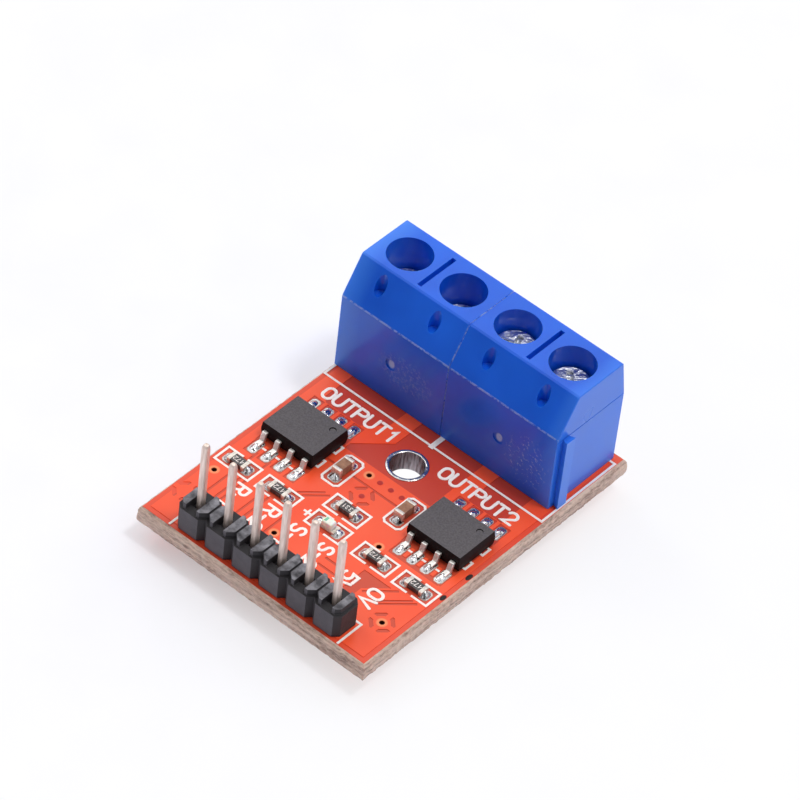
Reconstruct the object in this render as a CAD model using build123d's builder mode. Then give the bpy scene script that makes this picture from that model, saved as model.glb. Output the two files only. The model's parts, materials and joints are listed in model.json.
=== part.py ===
from build123d import *
import os
from math import atan2, degrees, hypot, sqrt

# Driver board for two small DC motors: a red circuit board with a six-way pin header along one edge,
# two joined two-way screw terminals along the other, and two eight-lead driver chips between them.
# Origin: the axis of the mounting hole, on the laminate's underside. +X runs along the pin header,
# +Y runs from the header to the screw terminals, +Z is up. Millimetres.

# Board, whose front edge follows the header and whose back edge follows the terminals
board_width = 20.8
board_thickness = 1.6
edge_before_header = 1.45
edge_behind_terminals = 0.4
score_reach = 0.32
score_depth = 0.6
mask_thickness = 0.03
copper_thickness = 0.04
copper_setback = 0.4
pad_isolation = 0.15
mask_gap = 0.04
pad_corner_share = 0.25
silk_thickness = 0.02
silk_line = 0.18

# Mounting hole, soldered holes and vias; all but the mounting hole are so small that eight sides will do
octagon_sides = 8
octagon_turn = 22.5
mounting_hole_radius = 1.3
plating_thickness = 0.16
mounting_ring_width = 0.25
hole_play = 0.1
hole_ring_width = 0.35
via_radius = 0.22
via_ring_width = 0.22
left_via_inset = 1.1
right_via_inset = 1.63
left_via_x = left_via_inset - board_width / 2
right_via_x = board_width / 2 - right_via_inset
via_places = [(left_via_x, -10.25), (-2.2, -11.77), (right_via_x, -12.75), (3.85, -7.47), (-1.25, -2.72)]
relief_places = [(right_via_x, -12.75), (-0.25, -4.65), (left_via_x, -13.3)]
relief_outer_radius = 1.0
relief_inner_radius = 0.66
relief_spoke = 0.42

# Pin header
pitch = 2.54
pin_count = 6
header_y = -15.05
pin_size = 0.64
pin_fit = 0.02
pin_above_board = 8.1
tail_below_board = 1.45
pin_point_length = 0.32
pin_point_taper = 26
header_depth = 2.5
header_shoulder = 2.04
header_land_rise = 0.5
header_corner = 0.42
header_channel = 0.94
header_pocket_depth = 0.35
header_land_setback = 0.2
header_land_corner = 0.72
header_seam = 0.14

# Screw terminals: heights are counted from the face that they stand on, reaches from the screws' axes
pole_pitch = 5.08
poles_per_block = 2
block_count = 2
terminals_centre_x = -0.33
screw_y = 8.05
block_front_reach = 4.15
block_top_front_reach = 2.29
block_top_back_reach = 2.61
block_back_reach = 3.25
block_height = 9.95
block_slope_height = 6.87
block_corner = 0.1
block_end_bevel = 0.06
seam_height = 6.6
seam_size = 0.08
screw_well_radius = 1.75
top_slot_length = 3.9
top_slot_width = 0.38
top_slot_depth = 0.7
scoop_radius = 0.46
scoop_setback = 0.7
scoop_floor = 7.95
ejector_mark_radius = 0.5
ejector_mark_depth = 0.1
ejector_mark_height = 3.5
rib_reach = 0.48
rib_root = 0.66
rib_tip = 0.96
rib_setback = 0.95
rib_fit = 0.05
entry_width = 3.1
entry_height = 3.9
entry_floor = 1.2
entry_flare = 0.3

# Clamp cages, screws and pressure plates
cage_width = 4.1
cage_depth = 4.4
cage_bottom = 0.6
cage_top = 6.3
cage_wall = 0.55
cage_roof = 1.2
cage_bend = 0.35
cage_fit = 0.1
solder_pin_width = 1.0
solder_pin_thickness = 0.8
thread_radius = 1.45
thread_fit = 0.05
screw_head_radius = 1.55
screw_head_thickness = 0.85
screw_head_bevel = 0.14
screw_length = 4.6
screw_seat_gap = 0.05
recess_depth = 0.55
recess_slot_width = 0.5
recess_cross_length = 2.0
screw_angles = [24, 66, 14, 41]
block_lifts = [0.0, 1.0]
plate_thickness = 0.4
plate_side_gap = 0.15
plate_end_gap = 0.3
plate_tip_gap = 0.02
plate_lip = 0.45

# Driver chips, one set in from each side edge of the board
left_chip_inset = 3.52
right_chip_inset = 3.44
chip_xs = [left_chip_inset - board_width / 2, board_width / 2 - right_chip_inset]
chip_y = -3.4
chip_length = 4.9
chip_width = 3.9
chip_top = 1.4
chip_standoff = 0.1
chip_draft = 7
dimple_radius = 0.25
dimple_depth = 0.08
dimple_x = 1.65
dimple_y = 1.1
lead_pitch = 1.27
leads_per_side = 4
lead_width = 0.42
lead_thickness = 0.2
lead_span = 6.0
lead_foot = 0.55
lead_shoulder = 0.28
chip_pad_width = 0.7
chip_pad_outer = 3.7
chip_pad_inner = 2.3
chip_mark_x = 2.55
chip_mark_size = 0.8
chip_mark_arm = 0.27
chip_mark_spread = 0.95
chip_dash_inset = 0.18

# Chip resistors, indicator lamp and ceramic capacitors, all of one footprint; most keep to their side's chip
small_length = 1.6
small_width = 0.8
small_cap = 0.3
cap_wrap = 0.03
resistor_height = 0.45
lamp_height = 0.68
lamp_base_height = 0.22
lamp_lens_length = 0.98
lamp_lens_draft = 6
capacitor_height = 0.8
small_pad_length = 0.75
small_pad_width = 0.95
small_pad_outer = 1.25
row_y = -8.6
capacitor_y = -3.77
left_resistor_offsets = (-1.6, 2.28)
right_resistor_offsets = (-2.48, 1.34)
capacitor_offsets = (4.03, -3.93)
middle_resistor_place = (0.0, -6.5)
lamp_place = (0.1, row_y)
small_box_length = 3.35
small_box_width = 1.75
small_box_gap = 0.4
capacitor_box_corner = 0.3
polarity_arm = 0.55

# Solder
joint_height = 0.95
joint_collar = 0.16
toe_height = 0.3
toe_reach = 0.38
toe_hollow = 0.33
chip_toe_height = 0.22

# Printed outlines round the terminals and the header
terminal_print_front_reach = 5.37
terminal_print_back_reach = 2.8
terminal_print_inset = 0.1
terminal_divider_width = 0.42
header_print_reach = 1.11
header_print_margin = 0.28
edge_print_gap = 0.12

# Bare fields of the top face, where the mask lies lower because no copper is under it
field_behind_block_1 = [(-8.7, 11.2), (-8.7, 0.95), (-8.25, 0.5), (-5.0, 0.5), (-3.5, 2.0), (-3.5, 11.2)]
field_round_hole = [(-2.0, 11.2), (-2.0, 1.0), (-4.3, -1.3), (-4.3, -1.9), (3.8, -1.9), (3.8, 11.2)]
field_behind_block_2 = [(5.3, 11.2), (5.3, 0.5), (8.4, 0.5), (8.4, 11.2)]
field_before_chip_2 = [(4.6, -6.9), (9.2, -6.9), (9.2, -7.35), (4.6, -7.35)]
field_by_pin_5 = [(4.6, -9.85), (7.1, -9.85), (5.6, -11.35), (5.6, -12.3), (4.6, -12.3)]
bare_fields = [
    field_behind_block_1,
    field_round_hole,
    field_behind_block_2,
    field_before_chip_2,
    field_by_pin_5,
]

# Narrow bare lines beside the tracks, each from one point to another
gap_line = 0.2
track_gaps = [
    ((-4.4, -3.62), (4.0, -3.62)),
    ((-1.9, -6.3), (-3.2, -7.6)),
    ((-2.35, -6.3), (-3.65, -7.6)),
    ((-8.25, -6.9), (-8.25, -7.6)),
    ((-8.25, -9.6), (-8.25, -12.6)),
    ((-7.45, -9.6), (-7.45, -12.6)),
    ((-7.0, -6.9), (-7.0, -12.6)),
    ((-5.35, -9.6), (-5.35, -12.6)),
    ((-4.75, -9.6), (-4.75, -12.6)),
    ((-2.75, -9.6), (-2.75, -12.6)),
    ((7.6, -9.75), (5.9, -11.45)),
    ((8.9, -9.75), (6.95, -11.7)),
    ((9.3, -9.75), (7.35, -11.7)),
    ((2.0, -10.95), (3.6, -10.95)),
    ((2.0, -11.75), (3.6, -11.75)),
]

# Heights and places that follow from the sizes above
pad_top = board_thickness + copper_thickness
bare_mask_top = board_thickness + mask_thickness
copper_mask_top = bare_mask_top + copper_thickness
seat = copper_mask_top + silk_thickness
floor_level = -tail_below_board
block_front_y = screw_y - block_front_reach
block_back_y = screw_y + block_back_reach
board_front_y = header_y - edge_before_header
board_back_y = block_back_y + edge_behind_terminals
board_length = board_back_y - board_front_y
board_centre_y = (board_front_y + board_back_y) / 2
header_length = pin_count * pitch
score_angle = degrees(atan2(score_reach, score_depth))
header_hole_radius = pin_size * sqrt(2) / 2 + hole_play
terminal_hole_radius = hypot(solder_pin_width, solder_pin_thickness) / 2 + hole_play
block_width = poles_per_block * pole_pitch
pole_count = block_count * poles_per_block
cage_inner_width = cage_width - 2 * cage_wall
pin_xs = [(i - (pin_count - 1) / 2) * pitch for i in range(pin_count)]
pole_xs = [terminals_centre_x + (i - (pole_count - 1) / 2) * pole_pitch for i in range(pole_count)]
block_xs = [terminals_centre_x + (i - (block_count - 1) / 2) * block_width for i in range(block_count)]
lead_offsets = [(i - (leads_per_side - 1) / 2) * lead_pitch for i in range(leads_per_side)]
soldered_holes = [(x, header_y, header_hole_radius) for x in pin_xs]
soldered_holes += [(x, screw_y, terminal_hole_radius) for x in pole_xs]
via_holes = [(x, y, via_radius) for x, y in via_places]
left_resistors = [(chip_xs[0] + offset, row_y) for offset in left_resistor_offsets]
right_resistors = [(chip_xs[1] + offset, row_y) for offset in right_resistor_offsets]
resistor_places = left_resistors + [middle_resistor_place] + right_resistors
capacitor_places = [(x + offset, capacitor_y) for x, offset in zip(chip_xs, capacitor_offsets)]
lying_places = resistor_places + [lamp_place]

os.makedirs("parts", exist_ok=True)


# Every soldering pad of the top face as (x, y, size along X, size along Y)
def pad_places():
    places = []
    chip_pad_length = chip_pad_outer - chip_pad_inner
    chip_pad_offset = (chip_pad_outer + chip_pad_inner) / 2
    small_offset = small_pad_outer - small_pad_length / 2
    for side in (-1, 1):
        for cx in chip_xs:
            for dx in lead_offsets:
                places.append((cx + dx, chip_y + side * chip_pad_offset, chip_pad_width, chip_pad_length))
        for cx, cy in lying_places:
            places.append((cx + side * small_offset, cy, small_pad_length, small_pad_width))
        for cx, cy in capacitor_places:
            places.append((cx, cy + side * small_offset, small_pad_width, small_pad_length))
    return places


# Adds or cuts a rectangle with its four corners cut off, centred at this place in the current sketch
def draw_cut_rectangle(x, y, size_x, size_y, cut, mode=Mode.ADD):
    half_x, half_y = size_x / 2, size_y / 2
    quarter = [(half_x, half_y - cut), (half_x - cut, half_y)]
    half = quarter + [(-px, py) for px, py in reversed(quarter)]
    outline = half + [(-px, -py) for px, py in half]
    Polygon(*[(x + px, y + py) for px, py in outline], align=None, mode=mode)


# Adds or cuts the outlines of all pads in the current sketch, each grown by the same margin
def draw_pads(grow=0.0, mode=Mode.ADD):
    for x, y, size_x, size_y in pad_places():
        corner_cut = min(size_x, size_y) * pad_corner_share
        draw_cut_rectangle(x, y, size_x + 2 * grow, size_y + 2 * grow, corner_cut, mode)


# Adds or cuts an eight-sided outline at each (x, y, radius), each grown by the same margin
def draw_octagons(places, grow=0.0, mode=Mode.ADD):
    for x, y, radius in places:
        with Locations((x, y)):
            RegularPolygon(radius + grow, octagon_sides, rotation=octagon_turn, mode=mode)


# Adds or cuts a straight bar of the given width from one point to another
def draw_bar(start, end, width, mode=Mode.ADD):
    middle = ((start[0] + end[0]) / 2, (start[1] + end[1]) / 2)
    length = hypot(end[0] - start[0], end[1] - start[1]) + width
    turn = degrees(atan2(end[1] - start[1], end[0] - start[0]))
    with Locations(middle):
        Rectangle(length, width, rotation=turn, mode=mode)


# Laminate: scored on both faces along every edge and snapped, so a ridge stands out at half thickness
with BuildPart() as circuit_board:
    with BuildSketch(Plane.XY.offset(score_depth)) as ridge_outline:
        with Locations((0, board_centre_y)):
            Rectangle(board_width + 2 * score_reach, board_length + 2 * score_reach)
    extrude(amount=board_thickness - 2 * score_depth)
    extrude(circuit_board.faces().sort_by(Axis.Z)[-1], amount=score_depth, taper=score_angle)
    extrude(circuit_board.faces().sort_by(Axis.Z)[0], amount=score_depth, taper=score_angle)
    with BuildSketch(Plane.XY) as drilling:
        Circle(mounting_hole_radius + plating_thickness)
        draw_octagons(soldered_holes)
        draw_octagons(via_holes)
    extrude(amount=board_thickness, mode=Mode.SUBTRACT)
circuit_board.part.label = "circuit_board"
export_step(circuit_board.part, "parts/circuit_board.step")

# Top mask: a thin skin, open at the pads, that stands higher wherever copper runs under it
mounting_ring_radius = mounting_hole_radius + mounting_ring_width
with BuildPart() as solder_mask_top:
    with BuildSketch(Plane.XY.offset(board_thickness)) as skin:
        with Locations((0, board_centre_y)):
            Rectangle(board_width, board_length)
    extrude(amount=mask_thickness)
    with BuildSketch(Plane.XY.offset(bare_mask_top)) as copper_relief:
        with Locations((0, board_centre_y)):
            Rectangle(board_width - 2 * copper_setback, board_length - 2 * copper_setback)
        for outline in bare_fields:
            Polygon(*outline, align=None, mode=Mode.SUBTRACT)
        for start, end in track_gaps:
            draw_bar(start, end, gap_line, mode=Mode.SUBTRACT)
        for cx in chip_xs:
            with Locations((cx, chip_y)):
                Rectangle(chip_length, lead_span - 2 * lead_foot, mode=Mode.SUBTRACT)
        for cx, cy in lying_places:
            with Locations((cx, cy)):
                Rectangle(small_box_length - silk_line, small_box_width - silk_line, mode=Mode.SUBTRACT)
        for cx, cy in capacitor_places:
            with Locations((cx, cy)):
                Rectangle(small_box_width - silk_line, small_box_length - silk_line, mode=Mode.SUBTRACT)
        for x, y in relief_places:
            draw_octagons([(x, y, relief_outer_radius)], mode=Mode.SUBTRACT)
            draw_octagons([(x, y, relief_inner_radius)])
            with Locations((x, y)):
                Rectangle(2 * relief_outer_radius, relief_spoke)
                Rectangle(relief_spoke, 2 * relief_outer_radius)
        draw_octagons(via_holes, grow=via_ring_width)
        for x, y, size_x, size_y in pad_places():
            with Locations((x, y)):
                Rectangle(size_x + 2 * pad_isolation, size_y + 2 * pad_isolation, mode=Mode.SUBTRACT)
    extrude(amount=copper_thickness)
    with BuildSketch(Plane.XY.offset(board_thickness)) as openings:
        draw_pads(grow=mask_gap)
        Circle(mounting_ring_radius + mask_gap)
        draw_octagons(soldered_holes, grow=hole_ring_width + mask_gap)
        draw_octagons(via_holes)
    extrude(amount=mask_thickness + copper_thickness, mode=Mode.SUBTRACT)
solder_mask_top.part.label = "solder_mask_top"
export_step(solder_mask_top.part, "parts/solder_mask_top.step")

# Bottom mask: open at the soldered holes, the mounting ring and the open vias
with BuildPart() as solder_mask_bottom:
    with BuildSketch(Plane.XY) as under_skin:
        with Locations((0, board_centre_y)):
            Rectangle(board_width, board_length)
        Circle(mounting_ring_radius + mask_gap, mode=Mode.SUBTRACT)
        draw_octagons(soldered_holes, grow=hole_ring_width + mask_gap, mode=Mode.SUBTRACT)
        draw_octagons(via_holes, mode=Mode.SUBTRACT)
    extrude(amount=-mask_thickness)
solder_mask_bottom.part.label = "solder_mask_bottom"
export_step(solder_mask_bottom.part, "parts/solder_mask_bottom.step")


# Plated mounting hole: a barrel through the board with a flat ring on each face
with BuildPart() as mounting_hole_plating:
    for level in (-copper_thickness, board_thickness):
        with BuildSketch(Plane.XY.offset(level)) as ring:
            Circle(mounting_ring_radius)
            Circle(mounting_hole_radius, mode=Mode.SUBTRACT)
        extrude(amount=copper_thickness)
    with BuildSketch(Plane.XY) as barrel:
        Circle(mounting_hole_radius + plating_thickness)
        Circle(mounting_hole_radius, mode=Mode.SUBTRACT)
    extrude(amount=board_thickness)
mounting_hole_plating.part.label = "mounting_hole_plating"
export_step(mounting_hole_plating.part, "parts/mounting_hole_plating.step")

# Tinned pads of the chips and the small parts
with BuildPart() as component_pads:
    with BuildSketch(Plane.XY.offset(board_thickness)) as pad_outlines:
        draw_pads()
    extrude(amount=copper_thickness)
component_pads.part.label = "component_pads"
export_step(component_pads.part, "parts/component_pads.step")

# White printed outlines, all at the level of the mask over copper
frame_inner_length = small_box_length - 2 * silk_line
frame_inner_width = small_box_width - 2 * silk_line
with BuildPart() as silkscreen_outlines:
    with BuildSketch(Plane.XY.offset(copper_mask_top)) as small_frames:
        for x, y in lying_places:
            with Locations((x, y)):
                Rectangle(small_box_length, small_box_width)
                Rectangle(frame_inner_length, frame_inner_width, mode=Mode.SUBTRACT)
                Rectangle(small_box_gap, small_box_width, mode=Mode.SUBTRACT)
        for x, y in capacitor_places:
            draw_cut_rectangle(x, y, small_box_width, small_box_length, capacitor_box_corner)
            inner_cut = capacitor_box_corner - silk_line / 2
            draw_cut_rectangle(x, y, frame_inner_width, frame_inner_length, inner_cut, Mode.SUBTRACT)
        plus_x = lamp_place[0] - small_box_length / 2 - polarity_arm / 2
        draw_bar((plus_x - polarity_arm / 2, row_y), (plus_x + polarity_arm / 2, row_y), silk_line)
        draw_bar((plus_x, row_y - polarity_arm / 2), (plus_x, row_y + polarity_arm / 2), silk_line)
        for chip_x in chip_xs:
            for side in (-1, 1):
                mark_x = chip_x + chip_mark_x
                mark_y = chip_y + side * chip_mark_spread
                top, foot = mark_y + chip_mark_size / 2, mark_y - chip_mark_size / 2
                draw_bar((mark_x, foot), (mark_x, top), silk_line)
                draw_bar((mark_x - chip_mark_arm, top), (mark_x, top), silk_line)
                draw_bar((mark_x - chip_mark_arm, foot), (mark_x, foot), silk_line)
            for left, right in zip(lead_offsets, lead_offsets[1:]):
                dash_x = chip_x + (left + right) / 2
                dash_y = chip_y - lead_span / 2 + chip_dash_inset
                draw_bar((dash_x - silk_line / 2, dash_y), (dash_x + silk_line / 2, dash_y), silk_line)
    extrude(amount=silk_thickness)
    with BuildSketch(Plane.XY.offset(copper_mask_top)) as terminal_print:
        half = board_width / 2 - terminal_print_inset
        front_y = screw_y - terminal_print_front_reach
        back_y = screw_y + terminal_print_back_reach
        corners = [(-half, back_y), (-half, front_y), (half, front_y), (half, back_y)]
        for start, end in zip(corners, corners[1:] + corners[:1]):
            draw_bar(start, end, silk_line)
        draw_bar((0, front_y), (0, back_y), terminal_divider_width)
    extrude(amount=silk_thickness)
    with BuildSketch(Plane.XY.offset(copper_mask_top)) as header_print:
        half = header_length / 2 + header_print_margin
        front_y = board_front_y + edge_print_gap
        back_y = header_y + header_print_reach
        corners = [(-half, front_y), (-half, back_y), (half, back_y), (half, front_y)]
        for start, end in zip(corners, corners[1:]):
            draw_bar(start, end, silk_line)
    extrude(amount=silk_thickness)
silkscreen_outlines.part.label = "silkscreen_outlines"
export_step(silkscreen_outlines.part, "parts/silkscreen_outlines.step")

# Header moulding: a row of eight-sided segments; between the pins stand raised lands with channels across
header_seams = [x - pitch / 2 for x in pin_xs] + [pin_xs[-1] + pitch / 2]
header_notches = [(x, header_y + side * header_depth / 2) for x in header_seams for side in (-1, 1)]
with BuildPart() as header_body:
    with BuildSketch(Plane.XY.offset(seat)) as header_outline:
        with Locations((0, header_y)):
            Rectangle(header_length, header_depth)
        with Locations(header_notches):
            RegularPolygon(header_corner, 4, mode=Mode.SUBTRACT)
    extrude(amount=header_shoulder)
    with BuildSketch(Plane.XY.offset(seat + header_shoulder)) as lands:
        with Locations((0, header_y)):
            Rectangle(header_length - 2 * header_land_setback, header_depth - 2 * header_land_setback)
        with Locations(header_notches):
            RegularPolygon(header_land_corner, 4, mode=Mode.SUBTRACT)
        with Locations([(x, header_y) for x in pin_xs]):
            Rectangle(header_channel, header_depth, mode=Mode.SUBTRACT)
    extrude(amount=header_land_rise)
    with BuildSketch(Plane.XY.offset(seat + header_shoulder + header_land_rise)) as seams:
        with Locations([(x, header_y) for x in header_seams[1:-1]]):
            Rectangle(header_seam, header_depth)
    extrude(amount=-header_seam, mode=Mode.SUBTRACT)
    with BuildSketch(Plane.XY.offset(seat + header_shoulder)) as pockets:
        with Locations([(x, header_y) for x in pin_xs]):
            Rectangle(header_channel, header_channel)
    extrude(amount=-header_pocket_depth, mode=Mode.SUBTRACT)
    with BuildSketch(Plane.XY.offset(seat)) as pin_holes:
        with Locations([(x, header_y) for x in pin_xs]):
            Rectangle(pin_size + 2 * pin_fit, pin_size + 2 * pin_fit)
    extrude(amount=header_shoulder, mode=Mode.SUBTRACT)
header_body.part.label = "header_body"
export_step(header_body.part, "parts/header_body.step")

# Header pins: square wire with a tapered point at each end
pin_top = copper_mask_top + pin_above_board
for number, x in enumerate(pin_xs, start=1):
    with BuildPart() as header_pin:
        with BuildSketch(Plane.XY.offset(floor_level + pin_point_length)) as wire:
            with Locations((x, header_y)):
                Rectangle(pin_size, pin_size)
        extrude(amount=pin_top - floor_level - 2 * pin_point_length)
        extrude(header_pin.faces().sort_by(Axis.Z)[-1], amount=pin_point_length, taper=pin_point_taper)
        extrude(header_pin.faces().sort_by(Axis.Z)[0], amount=pin_point_length, taper=pin_point_taper)
    header_pin.part.label = f"header_pin_{number}"
    export_step(header_pin.part, f"parts/header_pin_{number}.step")


# Adds an eight-sided solder joint under the board, narrowing down the pin, and hollow for the pin itself
def solder_joint(x, y, hole_radius, size_x, size_y):
    foot_radius = hole_radius + hole_ring_width
    tip_radius = hypot(size_x, size_y) / 2 + joint_collar
    slope = degrees(atan2(foot_radius - tip_radius, joint_height))
    with BuildSketch(Plane((x, y, 0), x_dir=(1, 0, 0), z_dir=(0, 0, -1))) as foot:
        RegularPolygon(foot_radius, octagon_sides, rotation=octagon_turn)
    extrude(foot.sketch, amount=joint_height, taper=slope)
    with BuildSketch(Plane.XY) as pin_section:
        with Locations((x, y)):
            Rectangle(size_x, size_y)
    extrude(pin_section.sketch, amount=-joint_height, mode=Mode.SUBTRACT)


# Soldered joints of the header pins
with BuildPart() as header_solder:
    for x in pin_xs:
        solder_joint(x, header_y, header_hole_radius, pin_size, pin_size)
header_solder.part.label = "header_solder"
export_step(header_solder.part, "parts/header_solder.step")

# Soldered joints of the terminal pins
with BuildPart() as terminal_solder:
    for x in pole_xs:
        solder_joint(x, screw_y, terminal_hole_radius, solder_pin_width, solder_pin_thickness)
terminal_solder.part.label = "terminal_solder"
export_step(terminal_solder.part, "parts/terminal_solder.step")

# Terminal housings: sloped front, stepped back, a dovetail rib on the right end and its groove on the left
block_top = seat + block_height
block_top_front_y = screw_y - block_top_front_reach
rib_centre_y = block_front_y + rib_setback
cavity_height = cage_top + cage_fit
entry_wall = block_back_reach - cage_depth / 2 - cage_fit
for number, block_x in enumerate(block_xs, start=1):
    left = block_x - block_width / 2
    right = block_x + block_width / 2
    own_poles = pole_xs[(number - 1) * poles_per_block:number * poles_per_block]
    with BuildPart() as terminal_housing:
        with BuildSketch(Plane.YZ.offset(left)) as side_profile:
            Polygon(
                (block_front_y, seat),
                (block_front_y, seat + block_slope_height),
                (block_top_front_y, block_top),
                (screw_y + block_top_back_reach, block_top),
                (block_back_y, seat + seam_height),
                (block_back_y, seat),
                align=None,
            )
        extrude(amount=block_width)
        long_edges = terminal_housing.edges().filter_by(Axis.X).group_by(Axis.Z)
        chamfer(long_edges[-1] + long_edges[-2], block_corner)
        end_edges = terminal_housing.faces().filter_by(Axis.X).edges()
        chamfer([edge for edge in end_edges if edge.center().Z > seat + seam_size], block_end_bevel)
        with BuildSketch(Plane.XY.offset(seat)) as rib:
            Polygon(
                (right, rib_centre_y - rib_root / 2),
                (right + rib_reach, rib_centre_y - rib_tip / 2),
                (right + rib_reach, rib_centre_y + rib_tip / 2),
                (right, rib_centre_y + rib_root / 2),
                align=None,
            )
        extrude(amount=seam_height)
        with BuildSketch(Plane.XY.offset(seat)) as rib_groove:
            Polygon(
                (left, rib_centre_y - rib_root / 2 - rib_fit),
                (left + rib_reach + rib_fit, rib_centre_y - rib_tip / 2 - rib_fit),
                (left + rib_reach + rib_fit, rib_centre_y + rib_tip / 2 + rib_fit),
                (left, rib_centre_y + rib_root / 2 + rib_fit),
                align=None,
            )
        extrude(amount=seam_height + rib_fit, mode=Mode.SUBTRACT)
        for end_x, inward in ((left, seam_size), (right, -seam_size)):
            with BuildSketch(Plane.YZ.offset(end_x)) as seam_line:
                with Locations(((block_front_y + block_back_y) / 2, seat + seam_height)):
                    Rectangle(block_back_y - block_front_y, seam_size)
            extrude(amount=inward, mode=Mode.SUBTRACT)
        with BuildSketch(Plane.XY.offset(seat)) as cavities:
            with Locations([(x, screw_y) for x in own_poles]):
                Rectangle(cage_width + 2 * cage_fit, cage_depth + 2 * cage_fit)
        extrude(amount=cavity_height, mode=Mode.SUBTRACT)
        with BuildSketch(Plane.XY.offset(block_top)) as wells:
            with Locations([(x, screw_y) for x in own_poles]):
                Circle(screw_well_radius)
        extrude(amount=cavity_height - block_height, mode=Mode.SUBTRACT)
        with BuildSketch(Plane.XY.offset(block_top)) as scoops:
            with Locations([(x, block_top_front_y - scoop_setback) for x in own_poles]):
                Circle(scoop_radius)
        extrude(amount=scoop_floor - block_height, mode=Mode.SUBTRACT)
        with BuildSketch(Plane.XY.offset(block_top)) as top_slot:
            with Locations((block_x, screw_y)):
                Rectangle(top_slot_width, top_slot_length)
        extrude(amount=-top_slot_depth, mode=Mode.SUBTRACT)
        with BuildSketch(Plane.XZ.offset(-block_front_y)) as ejector_mark:
            with Locations((block_x, seat + ejector_mark_height)):
                Circle(ejector_mark_radius)
        extrude(amount=-ejector_mark_depth, mode=Mode.SUBTRACT)
        with BuildSketch(Plane.XZ.offset(-block_back_y)) as wire_entries:
            with Locations([(x, seat + entry_floor + entry_height / 2) for x in own_poles]):
                Rectangle(entry_width, entry_height)
        extrude(amount=entry_wall, mode=Mode.SUBTRACT)
        back_face = terminal_housing.faces().filter_by(Axis.Y).sort_by(Axis.Y)[-1]
        chamfer([edge for wire in back_face.inner_wires() for edge in wire.edges()], entry_flare)
    terminal_housing.part.label = f"terminal_housing_{number}"
    export_step(terminal_housing.part, f"parts/terminal_housing_{number}.step")

# Screw clamps: a folded cage whose roof is threaded, its screw, and the plate that the screw drives
cage_height = cage_top - cage_bottom
opening_height = cage_height - cage_wall - cage_roof
for number, x in enumerate(pole_xs, start=1):
    with BuildPart() as terminal_clamp:
        with BuildSketch(Plane.XZ.offset(cage_depth / 2 - screw_y)) as cage_section:
            draw_cut_rectangle(x, seat + cage_bottom + cage_height / 2, cage_width, cage_height, cage_bend)
            with Locations((x, seat + cage_bottom + cage_wall + opening_height / 2)):
                Rectangle(cage_inner_width, opening_height, mode=Mode.SUBTRACT)
        extrude(amount=-cage_depth)
        with BuildSketch(Plane.XY.offset(seat + cage_top)) as threaded_hole:
            with Locations((x, screw_y)):
                Circle(thread_radius + thread_fit)
        extrude(amount=-cage_roof, mode=Mode.SUBTRACT)
        with BuildSketch(Plane.XY.offset(floor_level)) as solder_pin:
            with Locations((x, screw_y)):
                Rectangle(solder_pin_width, solder_pin_thickness)
        extrude(amount=seat + cage_bottom + cage_wall / 2 - floor_level)
    terminal_clamp.part.label = f"terminal_clamp_{number}"
    export_step(terminal_clamp.part, f"parts/terminal_clamp_{number}.step")

    head_bottom = seat + cage_top + screw_seat_gap + block_lifts[(number - 1) // poles_per_block]
    turned = screw_angles[number - 1]
    with BuildPart() as terminal_screw:
        with BuildSketch(Plane.XY.offset(head_bottom - screw_length)) as shank:
            with Locations((x, screw_y)):
                Circle(thread_radius)
        extrude(amount=screw_length)
        with BuildSketch(Plane.XY.offset(head_bottom)) as head:
            with Locations((x, screw_y)):
                Circle(screw_head_radius)
        extrude(amount=screw_head_thickness)
        chamfer(terminal_screw.edges().sort_by(Axis.Z)[-1], screw_head_bevel)
        with BuildSketch(Plane.XY.offset(head_bottom + screw_head_thickness)) as recess:
            with Locations((x, screw_y)):
                Rectangle(2 * screw_head_radius, recess_slot_width, rotation=turned)
                Rectangle(recess_slot_width, recess_cross_length, rotation=turned)
        extrude(amount=-recess_depth, mode=Mode.SUBTRACT)
    terminal_screw.part.label = f"terminal_screw_{number}"
    export_step(terminal_screw.part, f"parts/terminal_screw_{number}.step")

    plate_top = head_bottom - screw_length - plate_tip_gap
    plate_width = cage_inner_width - 2 * plate_side_gap
    plate_length = cage_depth - 2 * plate_end_gap
    with BuildPart() as pressure_plate:
        with BuildSketch(Plane.XY.offset(plate_top)) as plate:
            with Locations((x, screw_y)):
                Rectangle(plate_width, plate_length)
        extrude(amount=-plate_thickness)
        with BuildSketch(Plane.XY.offset(plate_top)) as lips:
            for side in (-1, 1):
                with Locations((x, screw_y + side * (plate_length - plate_thickness) / 2)):
                    Rectangle(plate_width, plate_thickness)
        extrude(amount=plate_lip)
    pressure_plate.part.label = f"pressure_plate_{number}"
    export_step(pressure_plate.part, f"parts/pressure_plate_{number}.step")


# Adds a solder wedge that climbs the outer end of a terminal; (away_x, away_y) points away from the part
def solder_toe(x, y, away_x, away_y, start, height, reach, width):
    with BuildSketch(Plane((x, y, pad_top), x_dir=(away_x, away_y, 0), z_dir=(away_y, -away_x, 0))) as wedge:
        hollow = (start + reach * toe_hollow, height * toe_hollow)
        Polygon((start, 0), (start + reach, 0), hollow, (start, height), align=None)
    extrude(wedge.sketch, amount=width / 2, both=True)


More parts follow.
